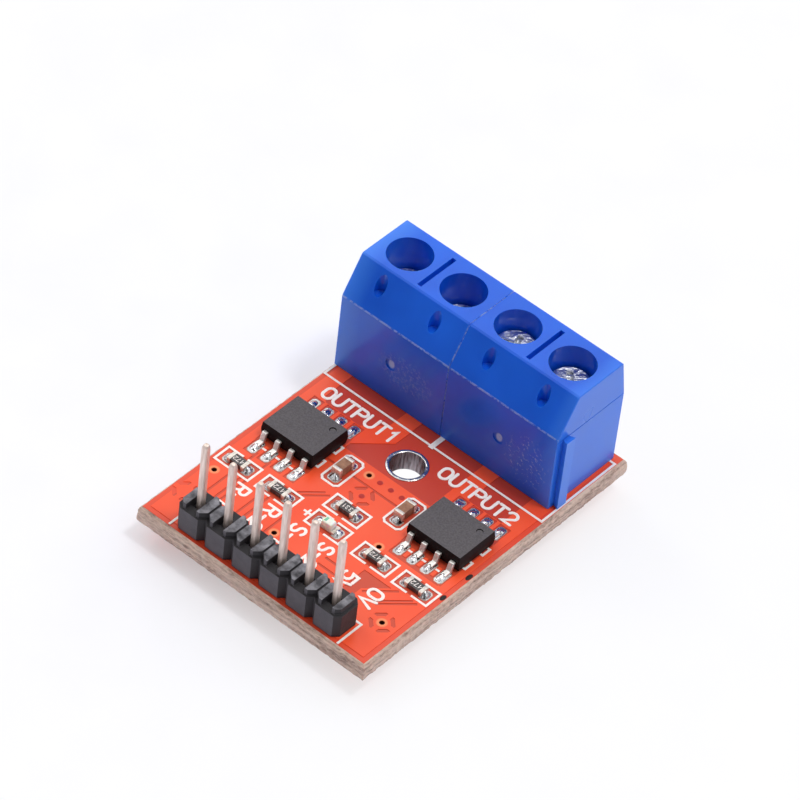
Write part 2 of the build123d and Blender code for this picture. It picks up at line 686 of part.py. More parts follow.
# Driver chips: moulded body with a pin-one dimple, and eight leads bent down to the pads
chip_middle = pad_top + (chip_top + chip_standoff) / 2
chip_half_height = (chip_top - chip_standoff - lead_thickness) / 2
body_edge = chip_width / 2
foot_end = lead_span / 2
foot_start = foot_end - lead_foot
for number, chip_x in enumerate(chip_xs, start=1):
    with BuildPart() as chip_body:
        with BuildSketch(Plane.XY.offset(chip_middle - lead_thickness / 2)) as parting_band:
            with Locations((chip_x, chip_y)):
                Rectangle(chip_length, chip_width)
        extrude(amount=lead_thickness)
        extrude(chip_body.faces().sort_by(Axis.Z)[-1], amount=chip_half_height, taper=chip_draft)
        extrude(chip_body.faces().sort_by(Axis.Z)[0], amount=chip_half_height, taper=chip_draft)
        with BuildSketch(Plane.XY.offset(pad_top + chip_top)) as dimple:
            with Locations((chip_x + dimple_x, chip_y + dimple_y)):
                Circle(dimple_radius)
        extrude(amount=-dimple_depth, mode=Mode.SUBTRACT)
    chip_body.part.label = f"driver_chip_{number}_body"
    export_step(chip_body.part, f"parts/driver_chip_{number}_body.step")

    with BuildPart() as chip_leads:
        for side in (-1, 1):
            for offset in lead_offsets:
                with BuildSketch(Plane.YZ.offset(chip_x + offset)) as lead_profile:
                    Polygon(*[(chip_y + side * y, z) for y, z in (
                        (body_edge, chip_middle + lead_thickness / 2),
                        (body_edge + lead_shoulder, chip_middle + lead_thickness / 2),
                        (foot_start, pad_top + lead_thickness),
                        (foot_end, pad_top + lead_thickness),
                        (foot_end, pad_top),
                        (foot_start - lead_thickness, pad_top),
                        (body_edge + lead_shoulder - lead_thickness, chip_middle - lead_thickness / 2),
                        (body_edge, chip_middle - lead_thickness / 2),
                    )], align=None)
                extrude(amount=lead_width / 2, both=True)
    chip_leads.part.label = f"driver_chip_{number}_leads"
    export_step(chip_leads.part, f"parts/driver_chip_{number}_leads.step")

with BuildPart() as chip_solder:
    for chip_x in chip_xs:
        for side in (-1, 1):
            for offset in lead_offsets:
                lead_x = chip_x + offset
                solder_toe(lead_x, chip_y, 0, side, foot_end, chip_toe_height, toe_reach, lead_width)
chip_solder.part.label = "chip_solder"
export_step(chip_solder.part, "parts/chip_solder.step")


# Makes the body of a small part, whose metal ends wrap round it; turned is 90 when it lies along Y
def small_body(name, place, turned, height):
    with BuildPart() as body:
        with BuildSketch(Plane.XY.offset(pad_top + cap_wrap)) as body_outline:
            with Locations(place):
                Rectangle(small_length - 2 * cap_wrap, small_width - 2 * cap_wrap, rotation=turned)
        extrude(amount=height - 2 * cap_wrap)
    body.part.label = name
    export_step(body.part, f"parts/{name}.step")


# Makes the two metal ends of a small part as cups that its body fills
def small_terminals(name, place, turned, height):
    with BuildPart() as terminals:
        with BuildSketch(Plane.XY.offset(pad_top)) as cups:
            with Locations(place):
                Rectangle(small_length, small_width, rotation=turned)
                Rectangle(small_length - 2 * small_cap, small_width, rotation=turned, mode=Mode.SUBTRACT)
        extrude(amount=height)
        with BuildSketch(Plane.XY.offset(pad_top + cap_wrap)) as filling:
            with Locations(place):
                Rectangle(small_length - 2 * cap_wrap, small_width - 2 * cap_wrap, rotation=turned)
        extrude(amount=height - 2 * cap_wrap, mode=Mode.SUBTRACT)
    terminals.part.label = name
    export_step(terminals.part, f"parts/{name}.step")


for number, place in enumerate(resistor_places, start=1):
    small_body(f"resistor_{number}_body", place, 0, resistor_height)
    small_terminals(f"resistor_{number}_terminals", place, 0, resistor_height)
for number, place in enumerate(capacitor_places, start=1):
    small_body(f"capacitor_{number}_body", place, 90, capacitor_height)
    small_terminals(f"capacitor_{number}_terminals", place, 90, capacitor_height)
small_body("lamp_base", lamp_place, 0, lamp_base_height)
small_terminals("lamp_terminals", lamp_place, 0, lamp_base_height)

# Cast lens of the indicator lamp, on its base between the metal ends
lens_bottom = pad_top + lamp_base_height - cap_wrap
with BuildPart() as lamp_lens:
    with BuildSketch(Plane.XY.offset(lens_bottom)) as lens_outline:
        with Locations(lamp_place):
            Rectangle(lamp_lens_length, small_width - 2 * cap_wrap)
    extrude(amount=pad_top + lamp_height - lens_bottom, taper=lamp_lens_draft)
lamp_lens.part.label = "lamp_lens"
export_step(lamp_lens.part, "parts/lamp_lens.step")

# Solder at the ends of the small parts
with BuildPart() as small_part_solder:
    for side in (-1, 1):
        for x, y in lying_places:
            height = min(toe_height, lamp_base_height) if (x, y) == lamp_place else toe_height
            solder_toe(x, y, side, 0, small_length / 2, height, toe_reach, small_width)
        for x, y in capacitor_places:
            solder_toe(x, y, 0, side, small_length / 2, toe_height, toe_reach, small_width)
small_part_solder.part.label = "small_part_solder"
export_step(small_part_solder.part, "parts/small_part_solder.step")
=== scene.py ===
import json
import math
import bmesh
import bpy
import numpy as np
from mathutils import Matrix, Vector


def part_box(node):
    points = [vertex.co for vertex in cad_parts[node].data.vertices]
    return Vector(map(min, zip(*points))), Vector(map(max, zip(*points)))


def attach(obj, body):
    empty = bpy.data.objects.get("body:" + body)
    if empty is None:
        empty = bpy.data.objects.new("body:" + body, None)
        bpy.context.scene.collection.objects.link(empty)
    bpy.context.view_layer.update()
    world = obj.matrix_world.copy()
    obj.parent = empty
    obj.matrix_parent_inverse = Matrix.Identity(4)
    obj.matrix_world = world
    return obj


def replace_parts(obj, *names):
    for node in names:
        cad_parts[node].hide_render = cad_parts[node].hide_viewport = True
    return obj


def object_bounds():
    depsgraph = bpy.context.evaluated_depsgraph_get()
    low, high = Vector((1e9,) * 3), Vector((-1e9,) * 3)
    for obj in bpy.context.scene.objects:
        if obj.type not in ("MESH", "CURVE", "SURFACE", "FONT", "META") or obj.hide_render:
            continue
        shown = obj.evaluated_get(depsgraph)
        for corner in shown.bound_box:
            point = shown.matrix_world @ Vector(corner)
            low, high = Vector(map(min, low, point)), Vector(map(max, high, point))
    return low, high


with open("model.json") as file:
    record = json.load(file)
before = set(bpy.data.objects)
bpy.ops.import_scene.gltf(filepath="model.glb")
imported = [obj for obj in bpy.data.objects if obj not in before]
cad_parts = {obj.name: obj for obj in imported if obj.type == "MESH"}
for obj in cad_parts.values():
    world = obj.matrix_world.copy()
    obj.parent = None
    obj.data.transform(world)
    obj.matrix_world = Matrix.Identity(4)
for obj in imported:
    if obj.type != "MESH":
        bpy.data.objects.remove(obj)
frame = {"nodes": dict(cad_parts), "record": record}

# Looks of a small red driver board: pin header in front, blue screw terminals behind, chips between them.
# Lengths are written in millimetres and multiplied by mm where they become mesh coordinates.
mm = 0.001
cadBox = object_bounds()
bodyOf = {node: body for body, nodes in frame["record"]["behaviour"]["bodies"].items() for node in nodes}
slotOf = {part["node"]: part["material_slot"] for part in frame["record"]["subparts"]}
print("frame loaded:", len(frame["nodes"]), "nodes")


def boxMm(node):
    low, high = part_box(node)
    return np.array(low) / mm, np.array(high) / mm


# Heights and places read from the frame
boardLow, boardHigh = boxMm("circuit_board")
maskLow, maskHigh = boxMm("solder_mask_top")
laminateTop = boardHigh[2]
silkTop = boxMm("silkscreen_outlines")[1][2]
padTop = boxMm("component_pads")[1][2]


# Camera: where the photograph was taken from, as angles round a target on the board's underside
cameraSetup = {
    "azimuth": 36.067,
    "elevation": 44.818,
    "roll": 7.179,
    "distance": 408.645,
    "target": (-5.678, 5.920, 0.0),
    "lens": 253.866,
    "sensor": 36.0,
    "near": 0.01,
    "far": 20.0,
}


# The camera's place = the target, turned by the azimuth, tilted up from looking down, rolled, moved back
def makeCamera(setup):
    data = bpy.data.cameras.new("studioCamera")
    data.lens = setup["lens"]
    data.sensor_width = setup["sensor"]
    data.clip_start = setup["near"]
    data.clip_end = setup["far"]
    camera = bpy.data.objects.new("studioCamera", data)
    bpy.context.scene.collection.objects.link(camera)
    target = Matrix.Translation(Vector(setup["target"]) * mm)
    turn = Matrix.Rotation(math.radians(setup["azimuth"]), 4, "Z")
    tilt = Matrix.Rotation(math.radians(90 - setup["elevation"]), 4, "X")
    roll = Matrix.Rotation(math.radians(setup["roll"]), 4, "Z")
    back = Matrix.Translation((0, 0, setup["distance"] * mm))
    camera.matrix_world = target @ turn @ tilt @ roll @ back
    bpy.context.scene.camera = camera


makeCamera(cameraSetup)
print("camera placed")


# Turns a hex colour linear, as the shader wants it
def linear(hexColour):
    channels = [int(hexColour[i:i + 2], 16) / 255 for i in (1, 3, 5)]
    return tuple(c / 12.92 if c <= 0.04045 else ((c + 0.055) / 1.055) ** 2.4 for c in channels) + (1.0,)


# Gives a node its values. A key is an input's name or number, or a property, and "stops" are a ramp's places
# and colours. Hex colours are turned linear, sockets are linked, and a node stands for its first output.
def setNode(tree, node, values):
    for key, value in values.items():
        if isinstance(value, bpy.types.Node):
            value = value.outputs[0]
        if isinstance(value, str) and value.startswith("#"):
            value = linear(value)
        if key == "stops":
            elements = node.color_ramp.elements
            while len(elements) < len(value):
                elements.new(0.5)
            for element, (place, colour) in zip(elements, value):
                element.position = place
                element.color = linear(colour)
        elif isinstance(key, str) and key not in node.inputs:
            setattr(node, key, value)
        elif isinstance(value, bpy.types.NodeSocket):
            tree.links.new(value, node.inputs[key])
        else:
            node.inputs[key].default_value = value


# Adds a node with its settings and links
def addNode(tree, kind, values):
    node = tree.nodes.new(kind)
    setNode(tree, node, values)
    return node


# A material whose surface starts from plain values
def newMaterial(name, values):
    material = bpy.data.materials.new(name)
    material.use_nodes = True
    tree = material.node_tree
    tree.nodes.clear()
    surface = addNode(tree, "ShaderNodeBsdfPrincipled", values)
    addNode(tree, "ShaderNodeOutputMaterial", {"Surface": surface})
    return material, tree, surface


# The shaded point in object coordinates, as X, Y and Z
def objectPlace(tree):
    where = addNode(tree, "ShaderNodeTexCoord", {}).outputs["Object"]
    return addNode(tree, "ShaderNodeSeparateXYZ", {"Vector": where}).outputs


# The way the shaded face looks, as X, Y and Z
def faceTurn(tree):
    normal = addNode(tree, "ShaderNodeNewGeometry", {}).outputs["True Normal"]
    return addNode(tree, "ShaderNodeSeparateXYZ", {"Vector": normal}).outputs


# Blotches on object coordinates: size is the width of one in millimetres, a stretch below 1 makes it long
def blotches(tree, size, detail=2.0, stretch=(1, 1, 1), roughness=0.5):
    where = addNode(tree, "ShaderNodeTexCoord", {}).outputs["Object"]
    stretched = addNode(tree, "ShaderNodeMapping", {"Vector": where, "Scale": stretch})
    return addNode(tree, "ShaderNodeTexNoise", {
        "Vector": stretched, "Scale": 1 / (size * mm), "Detail": detail, "Roughness": roughness})


# Colours laid over a first one like coats of paint, each through its own mask
def painted(tree, colour, coats):
    for mask, coat in coats:
        mixed = addNode(tree, "ShaderNodeMix", {"data_type": "RGBA", 0: mask, 6: colour, 7: coat})
        colour = mixed.outputs[2]
    return colour


# A mark round a point, long or flat when its reach differs by axis. The distance is counted in reaches: the
# mark is 1 up to markFades of its reach and falls to 0 at the whole of it.
markFades = 0.7
throughBoard = 3.0    # a reach upwards that takes in the whole board


def markAt(tree, centre, reach):
    where = addNode(tree, "ShaderNodeTexCoord", {}).outputs["Object"]
    counted = addNode(tree, "ShaderNodeMapping", {
        "vector_type": "TEXTURE", "Vector": where, "Location": tuple(c * mm for c in centre),
        "Scale": tuple(r * mm for r in reach)})
    far = addNode(tree, "ShaderNodeVectorMath", {"operation": "LENGTH", 0: counted}).outputs["Value"]
    return addNode(tree, "ShaderNodeMapRange", {
        "Value": far, "From Min": markFades, "To Min": 1.0, "To Max": 0.0})


# The strongest of several marks that share one reach
def marksAt(tree, places, reach):
    strongest = markAt(tree, places[0], reach)
    for place in places[1:]:
        mark = markAt(tree, place, reach)
        strongest = addNode(tree, "ShaderNodeMath", {"operation": "MAXIMUM", 0: strongest, 1: mark})
    return strongest


# Small plated through-connections, open ones and ones that the mask covers
openVias = [(-9.3, -10.25), (-2.2, -11.77), (8.77, -12.75), (3.85, -7.47), (-1.25, -2.72)]
coveredVias = [(-0.2, -2.72), (0.82, -2.72), (1.85, -2.72), (-0.25, -4.65)]


# Solder mask: epoxy ink, curtain-coated and cured; glossy, bright over copper, darker where it lies on bare
# board, and on bare board behind frontFrom, towards the terminals, painted a touch darker still as painted
# shade. It lies over copper where it is more than copperRise above the laminate, or on the underside.
maskLooks = {
    "overCopper": "#F64E27",
    "overCopperWarm": "#FB5C36",
    # painted shade: the bare mask behind frontFrom is a touch darker than in front
    "bareBackShaded": "#C9412D",
    "onBoardFront": "#CE4A30",
    "edgeStrip": "#E64D30",
    "stripWidth": 0.75,
    "frontFrom": -3.4,
    "frontBlend": 1.0,
    "copperRise": 0.04,
    "underside": 0.0005,
    "viaLand": "#FB9160",
    "landReach": 0.46,
    "tented": "#B4241A",
    "tentReach": 0.26,
    "tentDent": 0.02,
    "roughness": 0.3,
    "blotch": 5.0,
}


def maskMaterial(looks):
    material, tree, surface = newMaterial("curedSolderMask", {
        "Roughness": looks["roughness"], "IOR": 1.5, "Specular IOR Level": 0.42})
    place = objectPlace(tree)
    isHigh = addNode(tree, "ShaderNodeMath", {
        "operation": "GREATER_THAN", 0: place["Z"], 1: (laminateTop + looks["copperRise"]) * mm})
    isUnder = addNode(tree, "ShaderNodeMath", {
        "operation": "LESS_THAN", 0: place["Z"], 1: looks["underside"] * mm})
    overCopper = addNode(tree, "ShaderNodeMath", {"operation": "MAXIMUM", 0: isHigh, 1: isUnder})
    blotch = blotches(tree, looks["blotch"], detail=3)
    bright = addNode(tree, "ShaderNodeValToRGB", {
        "Fac": blotch, "stops": [(0.3, looks["overCopper"]), (0.7, looks["overCopperWarm"])]})
    atFront = addNode(tree, "ShaderNodeMapRange", {
        "Value": place["Y"], "From Min": (looks["frontFrom"] + looks["frontBlend"]) * mm,
        "From Max": (looks["frontFrom"] - looks["frontBlend"]) * mm})
    aside = addNode(tree, "ShaderNodeMath", {"operation": "ABSOLUTE", 0: place["X"]})
    atSide = addNode(tree, "ShaderNodeMath", {
        "operation": "GREATER_THAN", 0: aside, 1: (maskHigh[0] - looks["stripWidth"]) * mm})
    atEdge = addNode(tree, "ShaderNodeMath", {
        "operation": "LESS_THAN", 0: place["Y"], 1: (maskLow[1] + looks["stripWidth"]) * mm})
    inStrip = addNode(tree, "ShaderNodeMath", {"operation": "MAXIMUM", 0: atSide, 1: atEdge})
    landReach = (looks["landReach"], looks["landReach"], throughBoard)
    tentReach = (looks["tentReach"], looks["tentReach"], throughBoard)
    lands = marksAt(tree, [(x, y, laminateTop) for x, y in openVias], landReach)
    tents = marksAt(tree, [(x, y, laminateTop) for x, y in coveredVias], tentReach)
    # Painted shade: the bare mask behind frontFrom, towards the terminals, is a touch darker than in front of
    # it
    colour = painted(tree, looks["bareBackShaded"], [
        (atFront, looks["onBoardFront"]), (inStrip, looks["edgeStrip"]), (overCopper, bright),
        (lands, looks["viaLand"]), (tents, looks["tented"])])
    rough = addNode(tree, "ShaderNodeMapRange", {
        "Value": blotch, "From Min": 0.2, "From Max": 0.8,
        "To Min": looks["roughness"] - 0.03, "To Max": looks["roughness"] + 0.05})
    dents = addNode(tree, "ShaderNodeBump", {
        "Height": tents, "Distance": looks["tentDent"] * mm, "invert": True})
    setNode(tree, surface, {"Base Color": colour, "Roughness": rough, "Normal": dents})
    return material


# Glass-epoxy laminate, snapped along its scores: torn glass fibres give it long pale streaks and dark gaps
laminateLooks = {
    "pale": "#E0C6B6",
    "mid": "#BB9F91",
    "dark": "#7D665D",
    # painted shade: the inside of the open via holes is painted dark
    "holeShade": "#4E1A10",
    "holeShadeReach": 0.5,
    "fibre": 0.12,
    "ply": 0.25,
    "relief": 0.05,
    "depth": 0.3,
}


def laminateMaterial(looks):
    material, tree, surface = newMaterial("snappedGlassEpoxy", {
        "Roughness": 0.75, "IOR": 1.5, "Subsurface Weight": 0.15, "Subsurface Scale": looks["depth"] * mm})
    fibres = blotches(tree, looks["fibre"], detail=4, stretch=(0.25, 0.25, 1.0), roughness=0.65)
    plies = blotches(tree, looks["ply"], detail=2, stretch=(0.05, 0.05, 1.0))
    both = addNode(tree, "ShaderNodeMath", {"operation": "ADD", 0: fibres, 1: plies})
    shade = addNode(tree, "ShaderNodeMapRange", {"Value": both, "From Min": 0.65, "From Max": 1.3})
    streaks = addNode(tree, "ShaderNodeValToRGB", {
        "Fac": shade, "stops": [(0.0, looks["dark"]), (0.35, looks["mid"]), (0.75, looks["pale"])]})
    # Painted shade: the open via holes are painted dark inside
    holeShadeReach = (looks["holeShadeReach"], looks["holeShadeReach"], throughBoard)
    holeShade = marksAt(tree, [(x, y, laminateTop / 2) for x, y in openVias], holeShadeReach)
    relief = addNode(tree, "ShaderNodeBump", {"Height": fibres, "Distance": looks["relief"] * mm})
    setNode(tree, surface, {
        "Base Color": painted(tree, streaks, [(holeShade, looks["holeShade"])]), "Normal": relief})
    return material


# Metals: one recipe for the plated and tinned finishes, which differ in colour, polish and grain size
metalSpread = 0.08    # how far a metal's roughness swings either way with its grain


def metalMaterial(name, looks):
    material, tree, surface = newMaterial(name, {"Metallic": 1.0, "Roughness": looks["roughness"]})
    grain = blotches(tree, looks["grain"], detail=3, stretch=looks.get("stretch", (1, 1, 1)))
    colour = addNode(tree, "ShaderNodeValToRGB", {
        "Fac": grain, "stops": [(0.3, looks["dark"]), (0.7, looks["pale"])]})
    rough = addNode(tree, "ShaderNodeMapRange", {
        "Value": grain, "From Min": 0.3, "From Max": 0.7,
        "To Min": looks["roughness"] + metalSpread, "To Max": looks["roughness"] - metalSpread})
    relief = addNode(tree, "ShaderNodeBump", {"Height": grain, "Distance": looks["relief"] * mm})
    setNode(tree, surface, {"Base Color": colour, "Roughness": rough, "Normal": relief})
    return material


metalLooks = {
    # tin-plated square wire, drawn and cut: satin, warm grey, with faint lengthwise lines
    "tinnedPinWire": {
        "pale": "#F8E8DE", "dark": "#E4D3C8", "roughness": 0.6, "grain": 0.15, "relief": 0.003,
        "stretch": (1, 1, 0.12),
    },
    # solder frozen from the melt: near mirror with soft ripples
    "frozenSolder": {"pale": "#F8F8FA", "dark": "#C4C5C9", "roughness": 0.1, "grain": 0.3, "relief": 0.09},
    # tin plating over copper foil, levelled hot: bright with a slight wave
    "levelledTin": {"pale": "#E4E3E3", "dark": "#B5B3B2", "roughness": 0.2, "grain": 0.35, "relief": 0.05},
    # copper barrel of the mounting hole, tinned: streaked along its axis by the drill and the solder
    "streakedBarrel": {
        "pale": "#F2F0F0", "dark": "#8E8488", "roughness": 0.24, "grain": 0.16, "relief": 0.05,
        "stretch": (1, 1, 0.12),
    },
    # stamped and tin-plated chip leads: smooth and pale
    "stampedTinLead": {
        "pale": "#FFFDFA", "dark": "#E4E0DB", "roughness": 0.48, "grain": 0.2, "relief": 0.006,
    },
    # pressed and nickel-plated steel clamp: satin
    "pressedNickelSteel": {
        "pale": "#C9C7C2", "dark": "#A5A39E", "roughness": 0.32, "grain": 0.3, "relief": 0.005,
    },
    # fired silver and tin ends of the small parts: pale and satin
    "firedTinEnd": {"pale": "#EDE7E0", "dark": "#C6BCB0", "roughness": 0.36, "grain": 0.12, "relief": 0.01},
}


# Cold-headed, zinc-plated screw: bright and scuffed on its head, so it still shines deep in its well, with
# the turns of its rolled thread as level ridges round the shank. Ridge height = a zigzag of z, one per pitch.
screwLooks = {
    "pale": "#FFFFFF", "dark": "#C6CAD2", "roughness": 0.34, "grain": 0.5, "scuff": 0.26, "pitch": 0.5,
    "ridge": 0.16,
}


def screwMaterial(looks):
    material, tree, surface = newMaterial("headedZincScrew", {
        "Metallic": 1.0, "Roughness": looks["roughness"]})
    grain = blotches(tree, looks["grain"], detail=3)
    colour = addNode(tree, "ShaderNodeValToRGB", {
        "Fac": grain, "stops": [(0.3, looks["dark"]), (0.7, looks["pale"])]})
    upright = addNode(tree, "ShaderNodeMath", {"operation": "ABSOLUTE", 0: faceTurn(tree)["Z"]})
    onShank = addNode(tree, "ShaderNodeMapRange", {
        "Value": upright, "From Min": 0.2, "From Max": 0.4, "To Min": 1.0, "To Max": 0.0})
    onHead = addNode(tree, "ShaderNodeMapRange", {
        "Value": onShank, "To Min": looks["scuff"] / looks["ridge"], "To Max": 0.0})
    halfPitch = looks["pitch"] / 2 * mm
    zigzag = addNode(tree, "ShaderNodeMath", {
        "operation": "PINGPONG", 0: objectPlace(tree)["Z"], 1: halfPitch})
    ridges = addNode(tree, "ShaderNodeMapRange", {"Value": zigzag, "From Max": halfPitch})
    scuffs = addNode(tree, "ShaderNodeMath", {"operation": "MULTIPLY", 0: grain, 1: onHead})
    turns = addNode(tree, "ShaderNodeMath", {"operation": "MULTIPLY", 0: ridges, 1: onShank})
    height = addNode(tree, "ShaderNodeMath", {"operation": "ADD", 0: scuffs, 1: turns})
    relief = addNode(tree, "ShaderNodeBump", {"Height": height, "Distance": looks["ridge"] * mm})
    setNode(tree, surface, {"Base Color": colour, "Normal": relief})
    return material


# Screen-printed epoxy ink: matt white, a little pink where the red shows through
inkLooks = {"thin": "#EFC9BE", "even": "#FBF1EC", "thick": "#FFFBF8", "roughness": 0.55, "grain": 0.18,
            "relief": 0.006}


def inkMaterial(looks):
    material, tree, surface = newMaterial("screenPrintedInk", {"Roughness": looks["roughness"], "IOR": 1.5})
    cover = blotches(tree, looks["grain"], detail=4, roughness=0.6)
    colour = addNode(tree, "ShaderNodeValToRGB", {
        "Fac": cover, "stops": [(0.28, looks["thin"]), (0.42, looks["even"]), (1.0, looks["thick"])]})
    relief = addNode(tree, "ShaderNodeBump", {"Height": cover, "Distance": looks["relief"] * mm})
    setNode(tree, surface, {"Base Color": colour, "Normal": relief})
    return material


# Moulded plastics: one recipe, with faint clouds, pale dust, the mould's fine grain and worn places, and
# where a
# look asks for them, painted light: paler ends, darker faces turned along X, level tops painted lighter as a
# painted sheen and sunk level faces painted darker as painted shade.
# Each worn place is (centre, reach by axis in mm, how much of it shows, how sparse it is: whole at 0.25 and
# a few dots at 0.6).
def plasticMaterial(name, looks):
    material, tree, surface = newMaterial(name, {"Roughness": looks["roughness"], "IOR": 1.5})
    clouds = blotches(tree, looks["cloud"], detail=2)
    colour = addNode(tree, "ShaderNodeValToRGB", {
        "Fac": clouds, "stops": [(0.3, looks["dark"]), (0.7, looks["pale"])]})
    specks = blotches(tree, looks["speck"], detail=5, roughness=0.7)
    isSpeck = addNode(tree, "ShaderNodeMapRange", {
        "Value": specks, "From Min": looks["speckFrom"], "From Max": looks["speckFrom"] + 0.04,
        "To Max": looks["speckShow"]})
    coats = [(isSpeck, looks["dust"])]
    # Painted shade: faces turned along X are painted darker
    if "sidewaysShade" in looks:
        across = addNode(tree, "ShaderNodeMath", {"operation": "ABSOLUTE", 0: faceTurn(tree)["X"]})
        isShadedSide = addNode(tree, "ShaderNodeMapRange", {"Value": across, "From Min": 0.2, "From Max": 0.5})
        coats.append((isShadedSide, looks["sidewaysShade"]))
    # Painted light: the ends are painted paler, for the brighter light and reflection on the end faces
    if "litEnds" in looks:
        outward = addNode(tree, "ShaderNodeMath", {"operation": "ABSOLUTE", 0: objectPlace(tree)["X"]})
        atEnd = addNode(tree, "ShaderNodeMapRange", {
            "Value": outward, "From Min": looks["litEndsFrom"] * mm, "From Max": boardHigh[0] * mm,
            "To Max": looks["litEndsShow"]})
        coats.append((atEnd, looks["litEnds"]))
    # Painted sheen and shade: level tops above levelFrom are painted lighter in patches, lower level faces
    # darker
    if "level" in looks:
        isLevel = addNode(tree, "ShaderNodeMapRange", {
            "Value": faceTurn(tree)["Z"], "From Min": 0.9, "From Max": 0.98})
        isHigh = addNode(tree, "ShaderNodeMath", {
            "operation": "GREATER_THAN", 0: objectPlace(tree)["Z"], 1: looks["levelFrom"] * mm})
        isTop = addNode(tree, "ShaderNodeMath", {"operation": "MULTIPLY", 0: isLevel, 1: isHigh})
        sheenPatches = addNode(tree, "ShaderNodeValToRGB", {
            "Fac": blotches(tree, looks["levelPatch"], detail=3),
            "stops": [(0.35, looks["levelDark"]), (0.65, looks["level"])]})
        coats += [(isLevel, looks["sunk"]), (isTop, sheenPatches)]
    for centre, reach, show, sparse in looks.get("worn", []):
        broken = addNode(tree, "ShaderNodeMapRange", {
            "Value": specks, "From Min": sparse, "From Max": sparse + 0.12, "To Max": show})
        worn = addNode(tree, "ShaderNodeMath", {
            "operation": "MULTIPLY", 0: markAt(tree, centre, reach), 1: broken})
        coats.append((worn, looks["dust"]))
    rough = addNode(tree, "ShaderNodeMapRange", {
        "Value": clouds, "From Min": 0.2, "From Max": 0.8,
        "To Min": looks["roughness"] - 0.04, "To Max": looks["roughness"] + 0.06})
    setNode(tree, surface, {"Base Color": painted(tree, colour, coats), "Roughness": rough})
    if "grain" in looks:
        grain = blotches(tree, looks["grain"], detail=3)
        relief = addNode(tree, "ShaderNodeBump", {"Height": grain, "Distance": looks["relief"] * mm})
        setNode(tree, surface, {"Normal": relief})
    setNode(tree, surface, looks.get("shader", {}))
    return material


